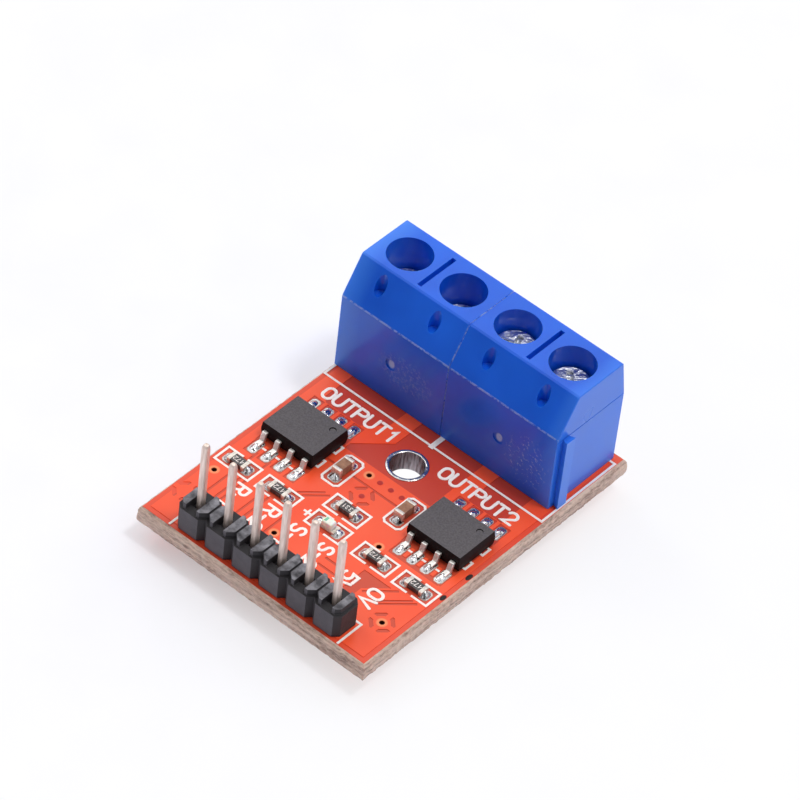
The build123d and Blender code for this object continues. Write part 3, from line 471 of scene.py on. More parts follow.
# Places on the terminals that are worn: ejector marks, the joint between the blocks, the slope's lower edge
# and the scratched front
jointX = boxMm("terminal_housing_2")[0][0]
frontY = boxMm("terminal_housing_1")[0][1]
wornPlaces = [
    ((-5.41, frontY, 5.19), (0.34, 0.3, 0.46), 0.85, 0.25),
    ((4.75, frontY, 5.19), (0.34, 0.3, 0.46), 0.85, 0.25),
    ((jointX, frontY + 2.0, 8.5), (0.07, 9.0, 7.0), 0.6, 0.44),
    ((jointX, frontY, 8.56), (30.0, 0.12, 0.1), 0.55, 0.42),
    ((-4.0, frontY, 5.0), (2.8, 0.2, 1.8), 0.22, 0.5),
    ((7.4, frontY, 4.8), (2.2, 0.2, 2.6), 0.65, 0.55),
]
plasticLooks = {
    # polyamide terminal housing, injection moulded: glossy, saturated, lets some light in; its ends are
    # painted paler, painted light for the brighter light and reflection on the end faces
    "mouldedBluePolyamide": {
        "pale": "#0C66E6", "dark": "#0A58D2", "roughness": 0.3, "cloud": 5.0,
        "speck": 0.3, "speckFrom": 0.7, "speckShow": 0.1, "dust": "#A9BCE8", "worn": wornPlaces,
        "litEnds": "#4088F2", "litEndsFrom": 8.6, "litEndsShow": 0.9,
        "shader": {
            "Subsurface Weight": 0.3, "Subsurface Scale": 0.5 * mm, "Subsurface Radius": (0.2, 0.5, 1.0),
            "Specular IOR Level": 0.32, "Coat Weight": 0.25, "Coat Roughness": 0.05,
        },
    },
    # glass-filled polyester header, moulded: dark grey; the grainy sheen on its lands is a painted sheen of
    # lighter patches, and its sunk level faces and faces turned along X are painted darker, as painted shade
    "mouldedBlackPolyester": {
        "pale": "#5E5A60", "dark": "#524F54", "roughness": 0.55, "cloud": 0.8,
        "speck": 0.35, "speckFrom": 0.64, "speckShow": 0.3, "dust": "#626064", "grain": 0.12, "relief": 0.02,
        "level": "#8C8B92", "levelDark": "#454449", "levelPatch": 0.7,
        "levelFrom": boxMm("header_body")[1][2] - 0.1, "sunk": "#2B292C", "sidewaysShade": "#343235",
        "shader": {"Specular IOR Level": 0.3},
    },
    # epoxy moulding compound of the chips: silica-filled, dull, with fine sparkle; its level top is painted
    # lighter, a painted sheen
    "silicaFilledEpoxy": {
        "pale": "#171416", "dark": "#110E10", "roughness": 0.55, "cloud": 1.5,
        "speck": 0.07, "speckFrom": 0.66, "speckShow": 0.5, "dust": "#4A4646", "grain": 0.07, "relief": 0.006,
        "level": "#646063", "levelDark": "#575356", "levelPatch": 0.12, "levelFrom": 0.0, "sunk": "#504C4F",
        "shader": {"Specular IOR Level": 0.12},
    },
    # glassed resistor top: dark grey and shiny, on a brown-grey ceramic
    "glassedResistorTop": {
        "pale": "#524E4E", "dark": "#403C3C", "roughness": 0.25, "cloud": 0.5,
        "speck": 0.1, "speckFrom": 0.72, "speckShow": 0.2, "dust": "#6E6660", "grain": 0.1, "relief": 0.004,
    },
    # fired barium titanate of the capacitors: warm brown, semi-matt
    "firedBrownCeramic": {
        "pale": "#A8785A", "dark": "#80543C", "roughness": 0.35, "cloud": 0.4,
        "speck": 0.1, "speckFrom": 0.7, "speckShow": 0.3, "dust": "#D9B9A2", "grain": 0.08, "relief": 0.006,
    },
    # woven white substrate under the lamp's lens
    "whiteLampSubstrate": {
        "pale": "#EDE9DC", "dark": "#D9D3C2", "roughness": 0.45, "cloud": 0.3,
        "speck": 0.1, "speckFrom": 0.75, "speckShow": 0.2, "dust": "#FFFFFF", "grain": 0.08, "relief": 0.004,
    },
    # green ink that marks the lamp's cathode
    "greenMarkingInk": {
        "pale": "#84CBA8", "dark": "#62B48E", "roughness": 0.4, "cloud": 0.2,
        "speck": 0.1, "speckFrom": 0.75, "speckShow": 0.2, "dust": "#BFE5D2", "grain": 0.08, "relief": 0.003,
    },
    # burnt black marks left at the panel's breaking tabs
    "charredMark": {
        "pale": "#2A1C18", "dark": "#120C0A", "roughness": 0.7, "cloud": 0.2,
        "speck": 0.1, "speckFrom": 0.75, "speckShow": 0.2, "dust": "#5A463C", "grain": 0.08, "relief": 0.01,
    },
}


# Cast silicone-epoxy lens: milky, lets light deep in
lensLooks = {
    "pale": "#FAFAF2", "dark": "#ECEDE0", "roughness": 0.2, "cloud": 0.3, "relief": 0.01, "depth": 0.4,
}


def lensMaterial(looks):
    material, tree, surface = newMaterial("castMilkyResin", {
        "Roughness": looks["roughness"], "IOR": 1.52, "Subsurface Weight": 0.5,
        "Subsurface Scale": looks["depth"] * mm})
    clouds = blotches(tree, looks["cloud"], detail=2)
    colour = addNode(tree, "ShaderNodeValToRGB", {
        "Fac": clouds, "stops": [(0.35, looks["dark"]), (0.65, looks["pale"])]})
    relief = addNode(tree, "ShaderNodeBump", {"Height": clouds, "Distance": looks["relief"] * mm})
    setNode(tree, surface, {"Base Color": colour, "Normal": relief})
    return material


materials = {
    "curedSolderMask": maskMaterial(maskLooks),
    "snappedGlassEpoxy": laminateMaterial(laminateLooks),
    "screenPrintedInk": inkMaterial(inkLooks),
    "castMilkyResin": lensMaterial(lensLooks),
    "headedZincScrew": screwMaterial(screwLooks),
}
for name, looks in metalLooks.items():
    materials[name] = metalMaterial(name, looks)
for name, looks in plasticLooks.items():
    materials[name] = plasticMaterial(name, looks)
print("materials:", len(materials))

# Which finish each of the record's slots has
finishes = {
    "laminate": "snappedGlassEpoxy",
    "solder_mask_red": "curedSolderMask",
    "tinned_copper": "levelledTin",
    "print_white": "screenPrintedInk",
    "header_black": "mouldedBlackPolyester",
    "pin_plating": "tinnedPinWire",
    "solder": "frozenSolder",
    "housing_blue": "mouldedBluePolyamide",
    "clamp_metal": "pressedNickelSteel",
    "screw_metal": "headedZincScrew",
    "chip_black": "silicaFilledEpoxy",
    "lead_tin": "stampedTinLead",
    "resistor_body": "glassedResistorTop",
    "capacitor_body": "firedBrownCeramic",
    "lamp_base": "whiteLampSubstrate",
    "lamp_lens": "castMilkyResin",
}


# Gives all of a piece's slots one finish, on the object, so that its mesh keeps its own
def dress(piece, finish):
    if not piece.material_slots:
        piece.data.materials.append(materials[finish])
    for slot in piece.material_slots:
        slot.link = "OBJECT"
        slot.material = materials[finish]


for node, piece in frame["nodes"].items():
    finish = finishes[slotOf[node]]
    if node.startswith(("resistor", "capacitor", "lamp")) and node.endswith("terminals"):
        finish = "firedTinEnd"
    if node == "mounting_hole_plating":
        finish = "streakedBarrel"
    dress(piece, finish)
print("frame nodes dressed")


# How wide the rounding is on the edges of each moulded or stamped node's copy
edgeRounding = {
    "terminal_housing_1": 0.045, "terminal_housing_2": 0.045,
    "header_body": 0.05,
    "driver_chip_1_body": 0.05, "driver_chip_2_body": 0.05,
    "driver_chip_1_leads": 0.04, "driver_chip_2_leads": 0.04,
    "lamp_lens": 0.08,
}
for number in range(1, 5):
    edgeRounding[f"terminal_screw_{number}"] = 0.05
    edgeRounding[f"terminal_clamp_{number}"] = 0.05
    edgeRounding[f"pressure_plate_{number}"] = 0.05
for number in range(1, 6):
    edgeRounding[f"resistor_{number}_terminals"] = 0.03
for number in range(1, 3):
    edgeRounding[f"capacitor_{number}_terminals"] = 0.04

# Angles are in degrees: triangles within flatAngle become one face, edges past roundAngle are rounded
copyRules = {"mergeWithin": 0.002, "flatAngle": 1.0, "roundAngle": 28, "segments": 3, "flatWeight": 50}


# Puts a finished mesh into the scene as a piece that rides on a body and wears one finish
def addPiece(name, mesh, body, finish):
    piece = bpy.data.objects.new(name, mesh)
    bpy.context.scene.collection.objects.link(piece)
    dress(piece, finish)
    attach(piece, body)
    return piece


# A working copy of a node's mesh with its loose triangles merged
def mergedCopy(node):
    work = bmesh.new()
    work.from_mesh(frame["nodes"][node].data)
    bmesh.ops.remove_doubles(work, verts=work.verts, dist=copyRules["mergeWithin"] * mm)
    return work


# Puts a working copy's shape into a mesh and frees the copy
def writeMesh(work, mesh):
    work.to_mesh(mesh)
    work.free()


# Refined copy of a node: merged, its flats joined, its edges rounded, and its normals weighted by face area
# so that flats still shade flat beside the rounding
def roundedCopy(node, rounding):
    work = mergedCopy(node)
    flatAngle = math.radians(copyRules["flatAngle"])
    bmesh.ops.dissolve_limit(work, angle_limit=flatAngle, verts=work.verts, edges=work.edges)
    mesh = bpy.data.meshes.new(node + "_rounded")
    writeMesh(work, mesh)
    mesh.shade_smooth()
    finish = frame["nodes"][node].material_slots[0].material.name
    piece = addPiece(node + "_rounded", mesh, bodyOf[node], finish)
    edges = piece.modifiers.new("edges", "BEVEL")
    edges.width = rounding * mm
    edges.segments = copyRules["segments"]
    edges.limit_method = "ANGLE"
    edges.angle_limit = math.radians(copyRules["roundAngle"])
    normals = piece.modifiers.new("flats stay flat", "WEIGHTED_NORMAL")
    normals.mode = "FACE_AREA"
    normals.weight = copyRules["flatWeight"]
    normals.keep_sharp = True
    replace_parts(piece, node)


for node, rounding in edgeRounding.items():
    roundedCopy(node, rounding)
print("rounded copies:", len(edgeRounding))


# A mesh from points in millimetres and blocks of faces, each block an array with one face in a row
def pointsMesh(name, points, blocks):
    mesh = bpy.data.meshes.new(name)
    mesh.from_pydata((points * mm).tolist(), [], [face for block in blocks for face in block.tolist()])
    mesh.update()
    mesh.shade_smooth()
    return mesh


# A grid surface: points[u, v] is a function of two parameters, closed round either of them when asked.
# Face = a point, the next one in u, the next one in both and the next one in v.
def gridMesh(name, points, wrapU=False, wrapV=False):
    rows, columns = points.shape[:2]
    index = np.arange(rows * columns).reshape(rows, columns)
    if wrapU:
        index = np.vstack([index, index[:1]])
    if wrapV:
        index = np.hstack([index, index[:, :1]])
    corners = [index[:-1, :-1], index[1:, :-1], index[1:, 1:], index[:-1, 1:]]
    return pointsMesh(name, points.reshape(-1, 3), [np.stack(corners, axis=-1).reshape(-1, 4)])


# Fills a mesh's open ends and turns all its faces outward
def capEnds(mesh):
    work = bmesh.new()
    work.from_mesh(mesh)
    bmesh.ops.holes_fill(work, edges=[edge for edge in work.edges if edge.is_boundary])
    bmesh.ops.recalc_face_normals(work, faces=work.faces)
    writeMesh(work, mesh)


# Turns an open belt's faces away from its middle: flips all of them when most look inward
def turnOutward(mesh):
    count = len(mesh.polygons)
    centres, normals = np.empty(count * 3), np.empty(count * 3)
    mesh.polygons.foreach_get("center", centres)
    mesh.polygons.foreach_get("normal", normals)
    centres, normals = centres.reshape(-1, 3), normals.reshape(-1, 3)
    if ((centres - centres.mean(axis=0)) * normals).sum() < 0:
        mesh.flip_normals()


# Header pins: a rounded square carried up the wire, with both ends pointed softly.
# Section = superellipse of half width w; near an end the width is
# w * (flat + (1 - flat) * sqrt(1 - (1 - t) ** 2)), where t is the distance to the end over the length of
# the point. Rows crowd towards the end, and the last is cut down to tip of its width.
pinLooks = {
    "square": 3.2, "spokes": 28, "slim": 0.86, "point": 0.5, "flat": 0.45, "tip": 0.5, "rows": 9,
    "crowd": 1.6,
}


# Radius of a superellipse of half width 1 at each angle: (|cos a| ** n + |sin a| ** n) ** (-1 / n)
def squareReach(angle, power):
    return (np.abs(np.cos(angle)) ** power + np.abs(np.sin(angle)) ** power) ** (-1 / power)


def headerPin(number, looks):
    node = f"header_pin_{number}"
    low, high = boxMm(node)
    middle, half = (low + high) / 2, (high - low) / 2
    a = np.linspace(0, 2 * math.pi, looks["spokes"], endpoint=False)[:, None]
    reach = squareReach(a, looks["square"])
    t = np.linspace(0, 1, looks["rows"]) ** looks["crowd"]
    width = looks["flat"] + (1 - looks["flat"]) * np.sqrt(1 - (1 - t) ** 2)
    width[0] *= looks["tip"]
    heights = np.concatenate([low[2] + t * looks["point"], high[2] - t[::-1] * looks["point"]])[None, :]
    widths = np.concatenate([width, width[::-1]])[None, :] * looks["slim"]
    points = np.stack([
        middle[0] + half[0] * reach * np.cos(a) * widths, middle[1] + half[1] * reach * np.sin(a) * widths,
        np.broadcast_to(heights, (looks["spokes"], heights.shape[1]))], axis=-1)
    mesh = gridMesh(node + "_drawn", points, wrapU=True)
    capEnds(mesh)
    piece = addPiece(node + "_drawn", mesh, "module", "tinnedPinWire")
    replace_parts(piece, node)


for number in range(1, 7):
    headerPin(number, pinLooks)
print("pins drawn")


# Laminate edge: the score's slopes and the torn web between them, carried round the board's outline.
# u runs round the board, v from the underside to the top. Outward reach = full score profile, which is
# reach * (1 - |2v-1| ** power), lowered by torn-fibre ripples, so it never passes the CAD ridge.
# coarse and fine are ripples as (how many waves, the fastest round the board, the most across the edge), and
# loss is what is torn away everywhere, by the coarse ones and by the fine ones, as shares of tear.
edgeLooks = {
    "step": 0.09,
    "rows": 15,
    "reach": 0.31,
    "power": 5.0,
    "tear": 0.55,
    "coarse": (14, 160, 1.2),
    "fine": (20, 420, 4.0),
    "loss": (0.28, 0.16, 0.12),
    "seed": 11,
}


# Smooth random field on a closed length: a sum of cosines with whole periods round u and any along v, over
# the root of their count. The slowest has an eighth of the fastest one's periods.
def ripples(u, v, count, topWave, vWaves, seed):
    random = np.random.default_rng(seed)
    waves = random.integers(topWave // 8, topWave, count)
    across = random.uniform(0, vWaves, count)
    phases = random.uniform(0, 2 * math.pi, count)
    total = np.zeros(np.broadcast(u, v).shape)
    for wave, vWave, phase in zip(waves, across, phases):
        total += np.cos(2 * math.pi * (wave * u + vWave * v) + phase)
    return total / math.sqrt(count)


def laminateEdge(looks):
    halfX, halfY = (maskHigh[0] - maskLow[0]) / 2, (maskHigh[1] - maskLow[1]) / 2
    middle = (maskHigh[1] + maskLow[1]) / 2
    countX, countY = int(2 * halfX / looks["step"]), int(2 * halfY / looks["step"])
    alongX = np.linspace(-halfX, halfX, countX, endpoint=False)
    alongY = np.linspace(-halfY, halfY, countY, endpoint=False)
    baseX = np.concatenate([alongX, np.full(countY, halfX), -alongX, np.full(countY, -halfX)])
    baseY = np.concatenate([np.full(countX, -halfY), alongY, np.full(countX, halfY), -alongY])
    u = (np.arange(len(baseX)) / len(baseX))[:, None]
    v = np.linspace(0, 1, looks["rows"])[None, :]
    profile = 1 - np.abs(2 * v - 1) ** looks["power"]
    coarse = ripples(u, v, *looks["coarse"], looks["seed"])
    fine = ripples(u, v, *looks["fine"], looks["seed"] + 1)
    everywhere, byCoarse, byFine = looks["loss"]
    loss = np.clip(everywhere + byCoarse * coarse + byFine * fine, 0.0, 1.0) * looks["tear"]
    reach = looks["reach"] * profile * (1 - loss)
    points = np.stack([
        baseX[:, None] * (1 + reach / halfX), baseY[:, None] * (1 + reach / halfY) + middle,
        np.broadcast_to(v * laminateTop, reach.shape)], axis=-1)
    mesh = gridMesh("laminate_edge", points, wrapU=True)
    turnOutward(mesh)
    return mesh


# The laminate inside its torn edge: the node's own points, each moved in to the mask's outline where it lies
# past it, and the faces that this folds away removed
laminateFold = 0.001


def laminateCore():
    mesh = bpy.data.meshes.new("laminate_core")
    writeMesh(mergedCopy("circuit_board"), mesh)
    points = np.empty(len(mesh.vertices) * 3, dtype=np.float32)
    mesh.vertices.foreach_get("co", points)
    points = points.reshape(-1, 3)
    points[:, :2] = np.clip(points[:, :2], maskLow[:2] * mm, maskHigh[:2] * mm)
    mesh.vertices.foreach_set("co", points.ravel())
    mesh.update()
    work = bmesh.new()
    work.from_mesh(mesh)
    bmesh.ops.dissolve_degenerate(work, dist=laminateFold * mm, edges=work.edges)
    writeMesh(work, mesh)
    return mesh


edgePiece = addPiece("laminate_edge", laminateEdge(edgeLooks), "module", "snappedGlassEpoxy")
corePiece = addPiece("laminate_core", laminateCore(), "module", "snappedGlassEpoxy")
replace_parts(edgePiece, "circuit_board")
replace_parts(corePiece, "circuit_board")
print("laminate edge torn")


# Stroke lettering: generic words and plain numbers, drawn with a round pen like the board's own printing.
# Each letter is a list of strokes on a grid 4 wide and 6 high; an arc is (centre x, y, rx, ry, from, to).
gridHeight = 6.0
gridWidth = 4.0
arcPoints = 9
capPoints = 5         # points round a stroke's half-round end, apart from its two sides
strokeStep = 0.005    # crossing strokes of one letter stand this much apart in height
sameWithin = 1e-6     # points closer than this are one
leastCosine = 0.45    # at the sharpest corners the mitre is cut off here


# Arc point = centre + (rx * cos angle, ry * sin angle)
def arc(cx, cy, rx, ry, start, end):
    angle = np.radians(np.linspace(start, end, arcPoints))
    return np.stack([cx + rx * np.cos(angle), cy + ry * np.sin(angle)], axis=-1).tolist()


letters = {
    "O": [arc(2, 4, 2, 2, 0, 180) + arc(2, 2, 2, 2, 180, 360) + [(4, 4)]],
    "U": [[(0, 6), (0, 2)] + arc(2, 2, 2, 2, 180, 360) + [(4, 6)]],
    "T": [[(0, 6), (4, 6)], [(2, 6), (2, 0)]],
    "P": [[(0, 0), (0, 6)], [(0, 6)] + arc(2.5, 4.5, 1.5, 1.5, 90, -90) + [(0, 3)]],
    "V": [[(0, 6), (2, 0), (4, 6)]],
    "R": [[(0, 0), (0, 6)], [(0, 6)] + arc(2.5, 4.5, 1.5, 1.5, 90, -90) + [(0, 3)], [(2.2, 3), (4, 0)]],
    "S": [arc(2, 4.5, 1.9, 1.5, 40, 270) + arc(2, 1.5, 1.9, 1.5, 90, -140)],
    "0": [arc(2, 4, 2, 2, 0, 180) + arc(2, 2, 2, 2, 180, 360) + [(4, 4)]],
    "1": [[(0.8, 4.6), (2, 6), (2, 0)]],
    "2": [arc(2, 4.2, 2, 1.8, 160, -30) + [(0, 0), (4, 0)]],
    "3": [arc(2, 4.5, 1.8, 1.5, 140, -90) + arc(2, 1.5, 2, 1.5, 90, -140)],
    "4": [[(3, 0), (3, 6), (0, 2)], [(0, 2), (4, 2)]],
    "5": [[(4, 6), (0.4, 6), (0.2, 3.4)] + arc(2, 2, 2, 2, 120, -130)],
    "7": [[(0, 6), (4, 6), (1.4, 0)]],
    "-": [[(0.6, 3), (3.4, 3)]],
}


# Joins several (points, face blocks) pairs into one, with each part's face numbers moved up to its points
def joined(parts):
    offset, allPoints, allBlocks = 0, [], []
    for points, blocks in parts:
        allPoints.append(points)
        allBlocks += [block + offset for block in blocks]
        offset += len(points)
    return np.vstack(allPoints), allBlocks


# A prism between two heights over an outline: its points are the outline at both heights
def prism(outline, low, high):
    count = len(outline)
    points = np.vstack([np.column_stack([outline, np.full(count, z)]) for z in (low, high)])
    index = np.arange(count)
    after = np.roll(index, -1)
    sides = np.stack([index, after, count + after, count + index], axis=-1)
    return points, [index[None, ::-1], count + index[None, :], sides]


# The same over the band between two closed outlines, as four rings of points joined side by side
def band(outer, inner, low, high):
    count = len(outer) - 1
    rings = [(outer[:-1], low), (outer[:-1], high), (inner[:-1], high), (inner[:-1], low)]
    points = np.vstack([np.column_stack([ring, np.full(count, z)]) for ring, z in rings])
    index = np.arange(4 * count).reshape(4, count)
    beside, above = np.roll(index, -1, axis=1), np.roll(index, -1, axis=0)
    return points, [np.stack([index, beside, np.roll(above, -1, axis=1), above], axis=-1).reshape(-1, 4)]


# Pen stroke: a flat ribbon along a line of points with half-round ends.
# Side points stand half a pen's width off the line, along the mitre of the two neighbouring runs.
def stroke(line, width, low, high):
    steps = np.linalg.norm(np.diff(line, axis=0), axis=1)
    line = line[np.concatenate([[True], steps > sameWithin])]
    runs = np.diff(line, axis=0)
    runs /= np.linalg.norm(runs, axis=1)[:, None]
    closed = np.linalg.norm(line[0] - line[-1]) < sameWithin
    before = np.vstack([runs[-1:] if closed else runs[:1], runs])
    after = np.vstack([runs, runs[:1] if closed else runs[-1:]])
    mitre = before + after
    mitre /= np.maximum(np.linalg.norm(mitre, axis=1)[:, None], sameWithin)
    cosine = np.maximum((mitre * before).sum(axis=1), leastCosine)[:, None]
    side = np.stack([-mitre[:, 1], mitre[:, 0]], axis=1) * width / 2 / cosine
    left, right = line + side, line - side
    if closed:
        return band(left, right, low, high)
    turn = np.radians(np.linspace(90, -90, capPoints + 2))[1:-1]
    ends = []
    for place, run in ((line[-1], runs[-1]), (line[0], -runs[0])):
        across = np.array([-run[1], run[0]])
        ends.append(place + width / 2 * (np.cos(turn)[:, None] * run + np.sin(turn)[:, None] * across))
    return prism(np.vstack([left, ends[0], right[::-1], ends[1]]), low, high)


# Lays words out from a start point; right is the reading direction and up the way that letter tops point.
# Point = start + right * (letter's number * width * spacing + x) + up * y, with the grid scaled to height.
def lettering(text, start, right, up, height, pen, low, high, spacing):
    axes = np.array([right, up], float)
    scale = height / gridHeight
    parts = []
    for position, letter in enumerate(text):
        origin = np.array(start, float) + axes[0] * position * gridWidth * spacing * scale
        for layer, line in enumerate(letters[letter]):
            parts.append(stroke(origin + np.array(line) @ axes * scale, pen, low, high - layer * strokeStep))
    return parts


# Letters as one flat-shaded piece of white ink, with their strokes closed
def lettersPiece(name, parts):
    mesh = pointsMesh(name, *joined(parts))
    capEnds(mesh)
    mesh.shade_flat()
    addPiece(name, mesh, "module", "screenPrintedInk")


# Words are (text, start x) beside the terminals, and (text, middle x, start y) beside the header
boardPrinting = {
    "pen": 0.23,
    "low": laminateTop + 0.031,    # just over the bare mask
    "height": 1.15,
    "terminalWords": [("OUTPUT1", -9.05), ("OUTPUT2", 2.1)],
    "terminalY": 0.78,
    "terminalSpacing": 1.32,
    "headerWords": [
        ("R-1", -6.62, -9.95), ("R-2", -3.72, -9.95), ("S-1", -1.2, -9.95), ("S-2", 1.4, -9.95),
        ("5V", 4.3, -10.7), ("0V", 6.72, -10.7),
    ],
    "headerSpacing": 1.25,
}


def printBoard(looks):
    height, pen, low = looks["height"], looks["pen"], looks["low"]
    printed = []
    for word, startX in looks["terminalWords"]:
        start = (startX, looks["terminalY"])
        printed += lettering(word, start, (1, 0), (0, 1), height, pen, low, silkTop, looks["terminalSpacing"])
    for word, middleX, startY in looks["headerWords"]:
        start = (middleX - height / 2, startY)
        printed += lettering(word, start, (0, -1), (1, 0), height, pen, low, silkTop, looks["headerSpacing"])
    lettersPiece("board_printing", printed)


# Plain three-figure values on the resistors, read from the board's back edge
resistorPrinting = {
    "texts": ["472", "472", "331", "472", "472"], "height": 0.34, "pen": 0.05, "sunk": 0.002, "thick": 0.004,
    "spacing": 1.4,
}


def printResistor(number, text, looks):
    low, high = boxMm(f"resistor_{number}_body")
    centre = (low + high) / 2
    scale = looks["height"] / gridHeight
    wide = (len(text) - 1) * gridWidth * looks["spacing"] * scale + gridWidth * scale
    start = (centre[0] + wide / 2, centre[1] + looks["height"] / 2)
    parts = lettering(text, start, (-1, 0), (0, -1), looks["height"], looks["pen"], high[2] - looks["sunk"],
                      high[2] + looks["thick"], looks["spacing"])
    lettersPiece(f"resistor_{number}_value", parts)


printBoard(boardPrinting)
for number, text in enumerate(resistorPrinting["texts"], start=1):
    printResistor(number, text, resistorPrinting)
print("lettering printed")


# Solder drops: a dome over a rounded outline. r is 0 in the middle and 1 at the rim, a turns round it.
# Outline = superellipse; height = base + peak * (1 - r ** fall) * lean, and lean is 1 plus a small skew
# towards one side, so that no two look alike.
dropGrid = {"rings": 10, "spokes": 36}


def drop(cx, cy, halfX, halfY, base, peak, fall, square, skew):
    r = np.linspace(0, 1, dropGrid["rings"])[:, None]
    a = np.linspace(0, 2 * math.pi, dropGrid["spokes"], endpoint=False)[None, :]
    reach = squareReach(a, square)
    x = cx + halfX * r * reach * np.cos(a)
    y = cy + halfY * r * reach * np.sin(a)
    lean = 1 + skew[0] * r * np.cos(a) + skew[1] * r * np.sin(a)
    z = base + peak * (1 - r ** fall) * lean
    points = np.stack([x, y, z], axis=-1)
    middle = points[0].mean(axis=0)
    body = points[1:].reshape(-1, 3)
    index = np.arange(len(body)).reshape(-1, dropGrid["spokes"])
    after = np.roll(index, -1, axis=1)
    quads = np.stack([index[:-1], index[1:], after[1:], after[:-1]], axis=-1).reshape(-1, 4)
    fan = np.stack([np.full(dropGrid["spokes"], len(body)), index[0], after[0]], axis=-1)
    return np.vstack([body, middle[None, :]]), [quads, fan, index[-1:, ::-1]]


# Looks of the drops: half is across and reach along the lead or part. Rims are sunk below the pads' tops,
# and film is the thin solder under each lead's toe, back from the drop's middle.
dropLooks = {
    "seed": 5,
    "sunk": 0.035,
    "leadPitch": 1.27,
    "chip": {"half": 0.33, "reach": 0.62, "peak": 0.3, "fall": 1.25, "square": 2.6},
    "film": {"half": 0.34, "reach": 0.4, "peak": 0.1, "fall": 2.2, "square": 3.0, "back": 0.35},
    "small": {"half": 0.46, "reach": 0.46, "peak": 0.42, "fall": 1.5, "square": 3.0},
    "lampPeak": 0.3,
}
dropRandom = np.random.default_rng(dropLooks["seed"])


# Where a chip's leads end: four on each side, a lead pitch apart, as (x, chip's middle y, side, half length)
def leadPlaces(number):
    low, high = boxMm(f"driver_chip_{number}_leads")
    centre = (low + high) / 2
    return [(centre[0] + (i - 1.5) * dropLooks["leadPitch"], centre[1], side, (high[1] - low[1]) / 2)
            for side in (-1, 1) for i in range(4)]


# A drop and a film at each lead's toe, the drop a little longer or shorter and off its place by chance
def chipDrops(looks):
    base = padTop - looks["sunk"]
    chip, film = looks["chip"], looks["film"]
    parts = []
    for x, y, side, half in leadPlaces(1) + leadPlaces(2):
        reach = chip["reach"] * dropRandom.uniform(0.9, 1.05)
        skew = dropRandom.uniform(-0.4, 0.4, 2)
        dropX = x + dropRandom.uniform(-0.02, 0.02)
        parts.append(drop(dropX, y + side * half, chip["half"], reach, base, chip["peak"], chip["fall"],
                          chip["square"], skew))
        toeY = y + side * (half - film["back"])
        parts.append(drop(x, toeY, film["half"], film["reach"], base, film["peak"], film["fall"],
                          film["square"], skew))
    return parts


# A drop at each end of each small part, along the part's longer side
def smallDrops(looks):
    base = padTop - looks["sunk"]
    small = looks["small"]
    parts = []
    for node in sorted(frame["nodes"]):
        if not node.endswith("_terminals") or node.startswith("driver"):
            continue
        low, high = boxMm(node)
        centre, size = (low + high) / 2, high - low
        alongX = size[0] > size[1]
        out = max(size[0], size[1]) / 2
        peak = looks["lampPeak"] if node.startswith("lamp") else small["peak"]
        for side in (-1, 1):
            reach = small["reach"] * dropRandom.uniform(0.92, 1.02)
            skew = dropRandom.uniform(-0.3, 0.3, 2)
            x, y = (centre[0] + side * out, centre[1]) if alongX else (centre[0], centre[1] + side * out)
            halfX, halfY = (reach, small["half"]) if alongX else (small["half"], reach)
            parts.append(drop(x, y, halfX, halfY, base, peak, small["fall"], small["square"], skew))
    return parts


for name, parts, node in (("chip_solder_drops", chipDrops(dropLooks), "chip_solder"),
                          ("small_part_solder_drops", smallDrops(dropLooks), "small_part_solder")):
    mesh = pointsMesh(name, *joined(parts))
    capEnds(mesh)
    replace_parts(addPiece(name, mesh, "module", "frozenSolder"), node)


# Mounting ring: solder levelled into a low dome. t runs across the ring, a round it; the height above the
# copper is rise * sqrt(1 - (2t - 1) ** 2), and both ends meet the copper.
ringLooks = {"inner": 1.3, "outer": 1.6, "rise": 0.05, "sunk": 0.001, "steps": 9, "spokes": 96}


def ringDome(looks):
    copperTop = boxMm("mounting_hole_plating")[1][2]
    t = np.linspace(0, 1, looks["steps"])[None, :]
    a = np.linspace(0, 2 * math.pi, looks["spokes"], endpoint=False)[:, None]
    radius = looks["inner"] + (looks["outer"] - looks["inner"]) * t
    height = copperTop - looks["sunk"] + looks["rise"] * np.sqrt(np.maximum(1 - (2 * t - 1) ** 2, 0))
    x, y = radius * np.cos(a), radius * np.sin(a)
    points = np.stack([x, y, np.broadcast_to(height, x.shape)], axis=-1)
    mesh = gridMesh("mounting_ring_dome", points, wrapU=True, wrapV=True)
    capEnds(mesh)
    addPiece("mounting_ring_dome", mesh, "module", "levelledTin")


ringDome(ringLooks)
print("solder frozen")


# Green mark on the lamp's lens: a thin box half sunk into its top. Corner = centre + or - half, by axis
lampMarkLooks = {"at": (-0.12, -8.6), "half": (0.1, 0.2, 0.012)}


def lampMark(looks):
    centre = (*looks["at"], boxMm("lamp_lens")[1][2])
    signs = np.array([(x, y, z) for x in (-1, 1) for y in (-1, 1) for z in (-1, 1)])
    faces = np.array([[0, 1, 3, 2], [4, 6, 7, 5], [0, 4, 5, 1], [2, 3, 7, 6], [0, 2, 6, 4], [1, 5, 7, 3]])
    mesh = pointsMesh("lamp_mark", signs * looks["half"] + centre, [faces])
    mesh.shade_flat()
    addPiece("lamp_mark", mesh, "module", "greenMarkingInk")


# Charred marks on the board's right edge: flat drops that touch the mask's edge, as (y, half length)
charredLooks = {
    "places": [(-5.1, 0.42), (-7.9, 0.36)], "depth": 0.42, "peak": 0.085, "fall": 3.0, "square": 2.2,
    "skew": (0.2, 0.2),
}


def charredMark(number, y, half, looks):
    name = f"charred_mark_{number}"
    mesh = pointsMesh(name, *drop(maskHigh[0] - looks["depth"] / 2, y, looks["depth"] / 2, half, laminateTop,
                                  looks["peak"], looks["fall"], looks["square"], looks["skew"]))
    capEnds(mesh)
    addPiece(name, mesh, "module", "charredMark")


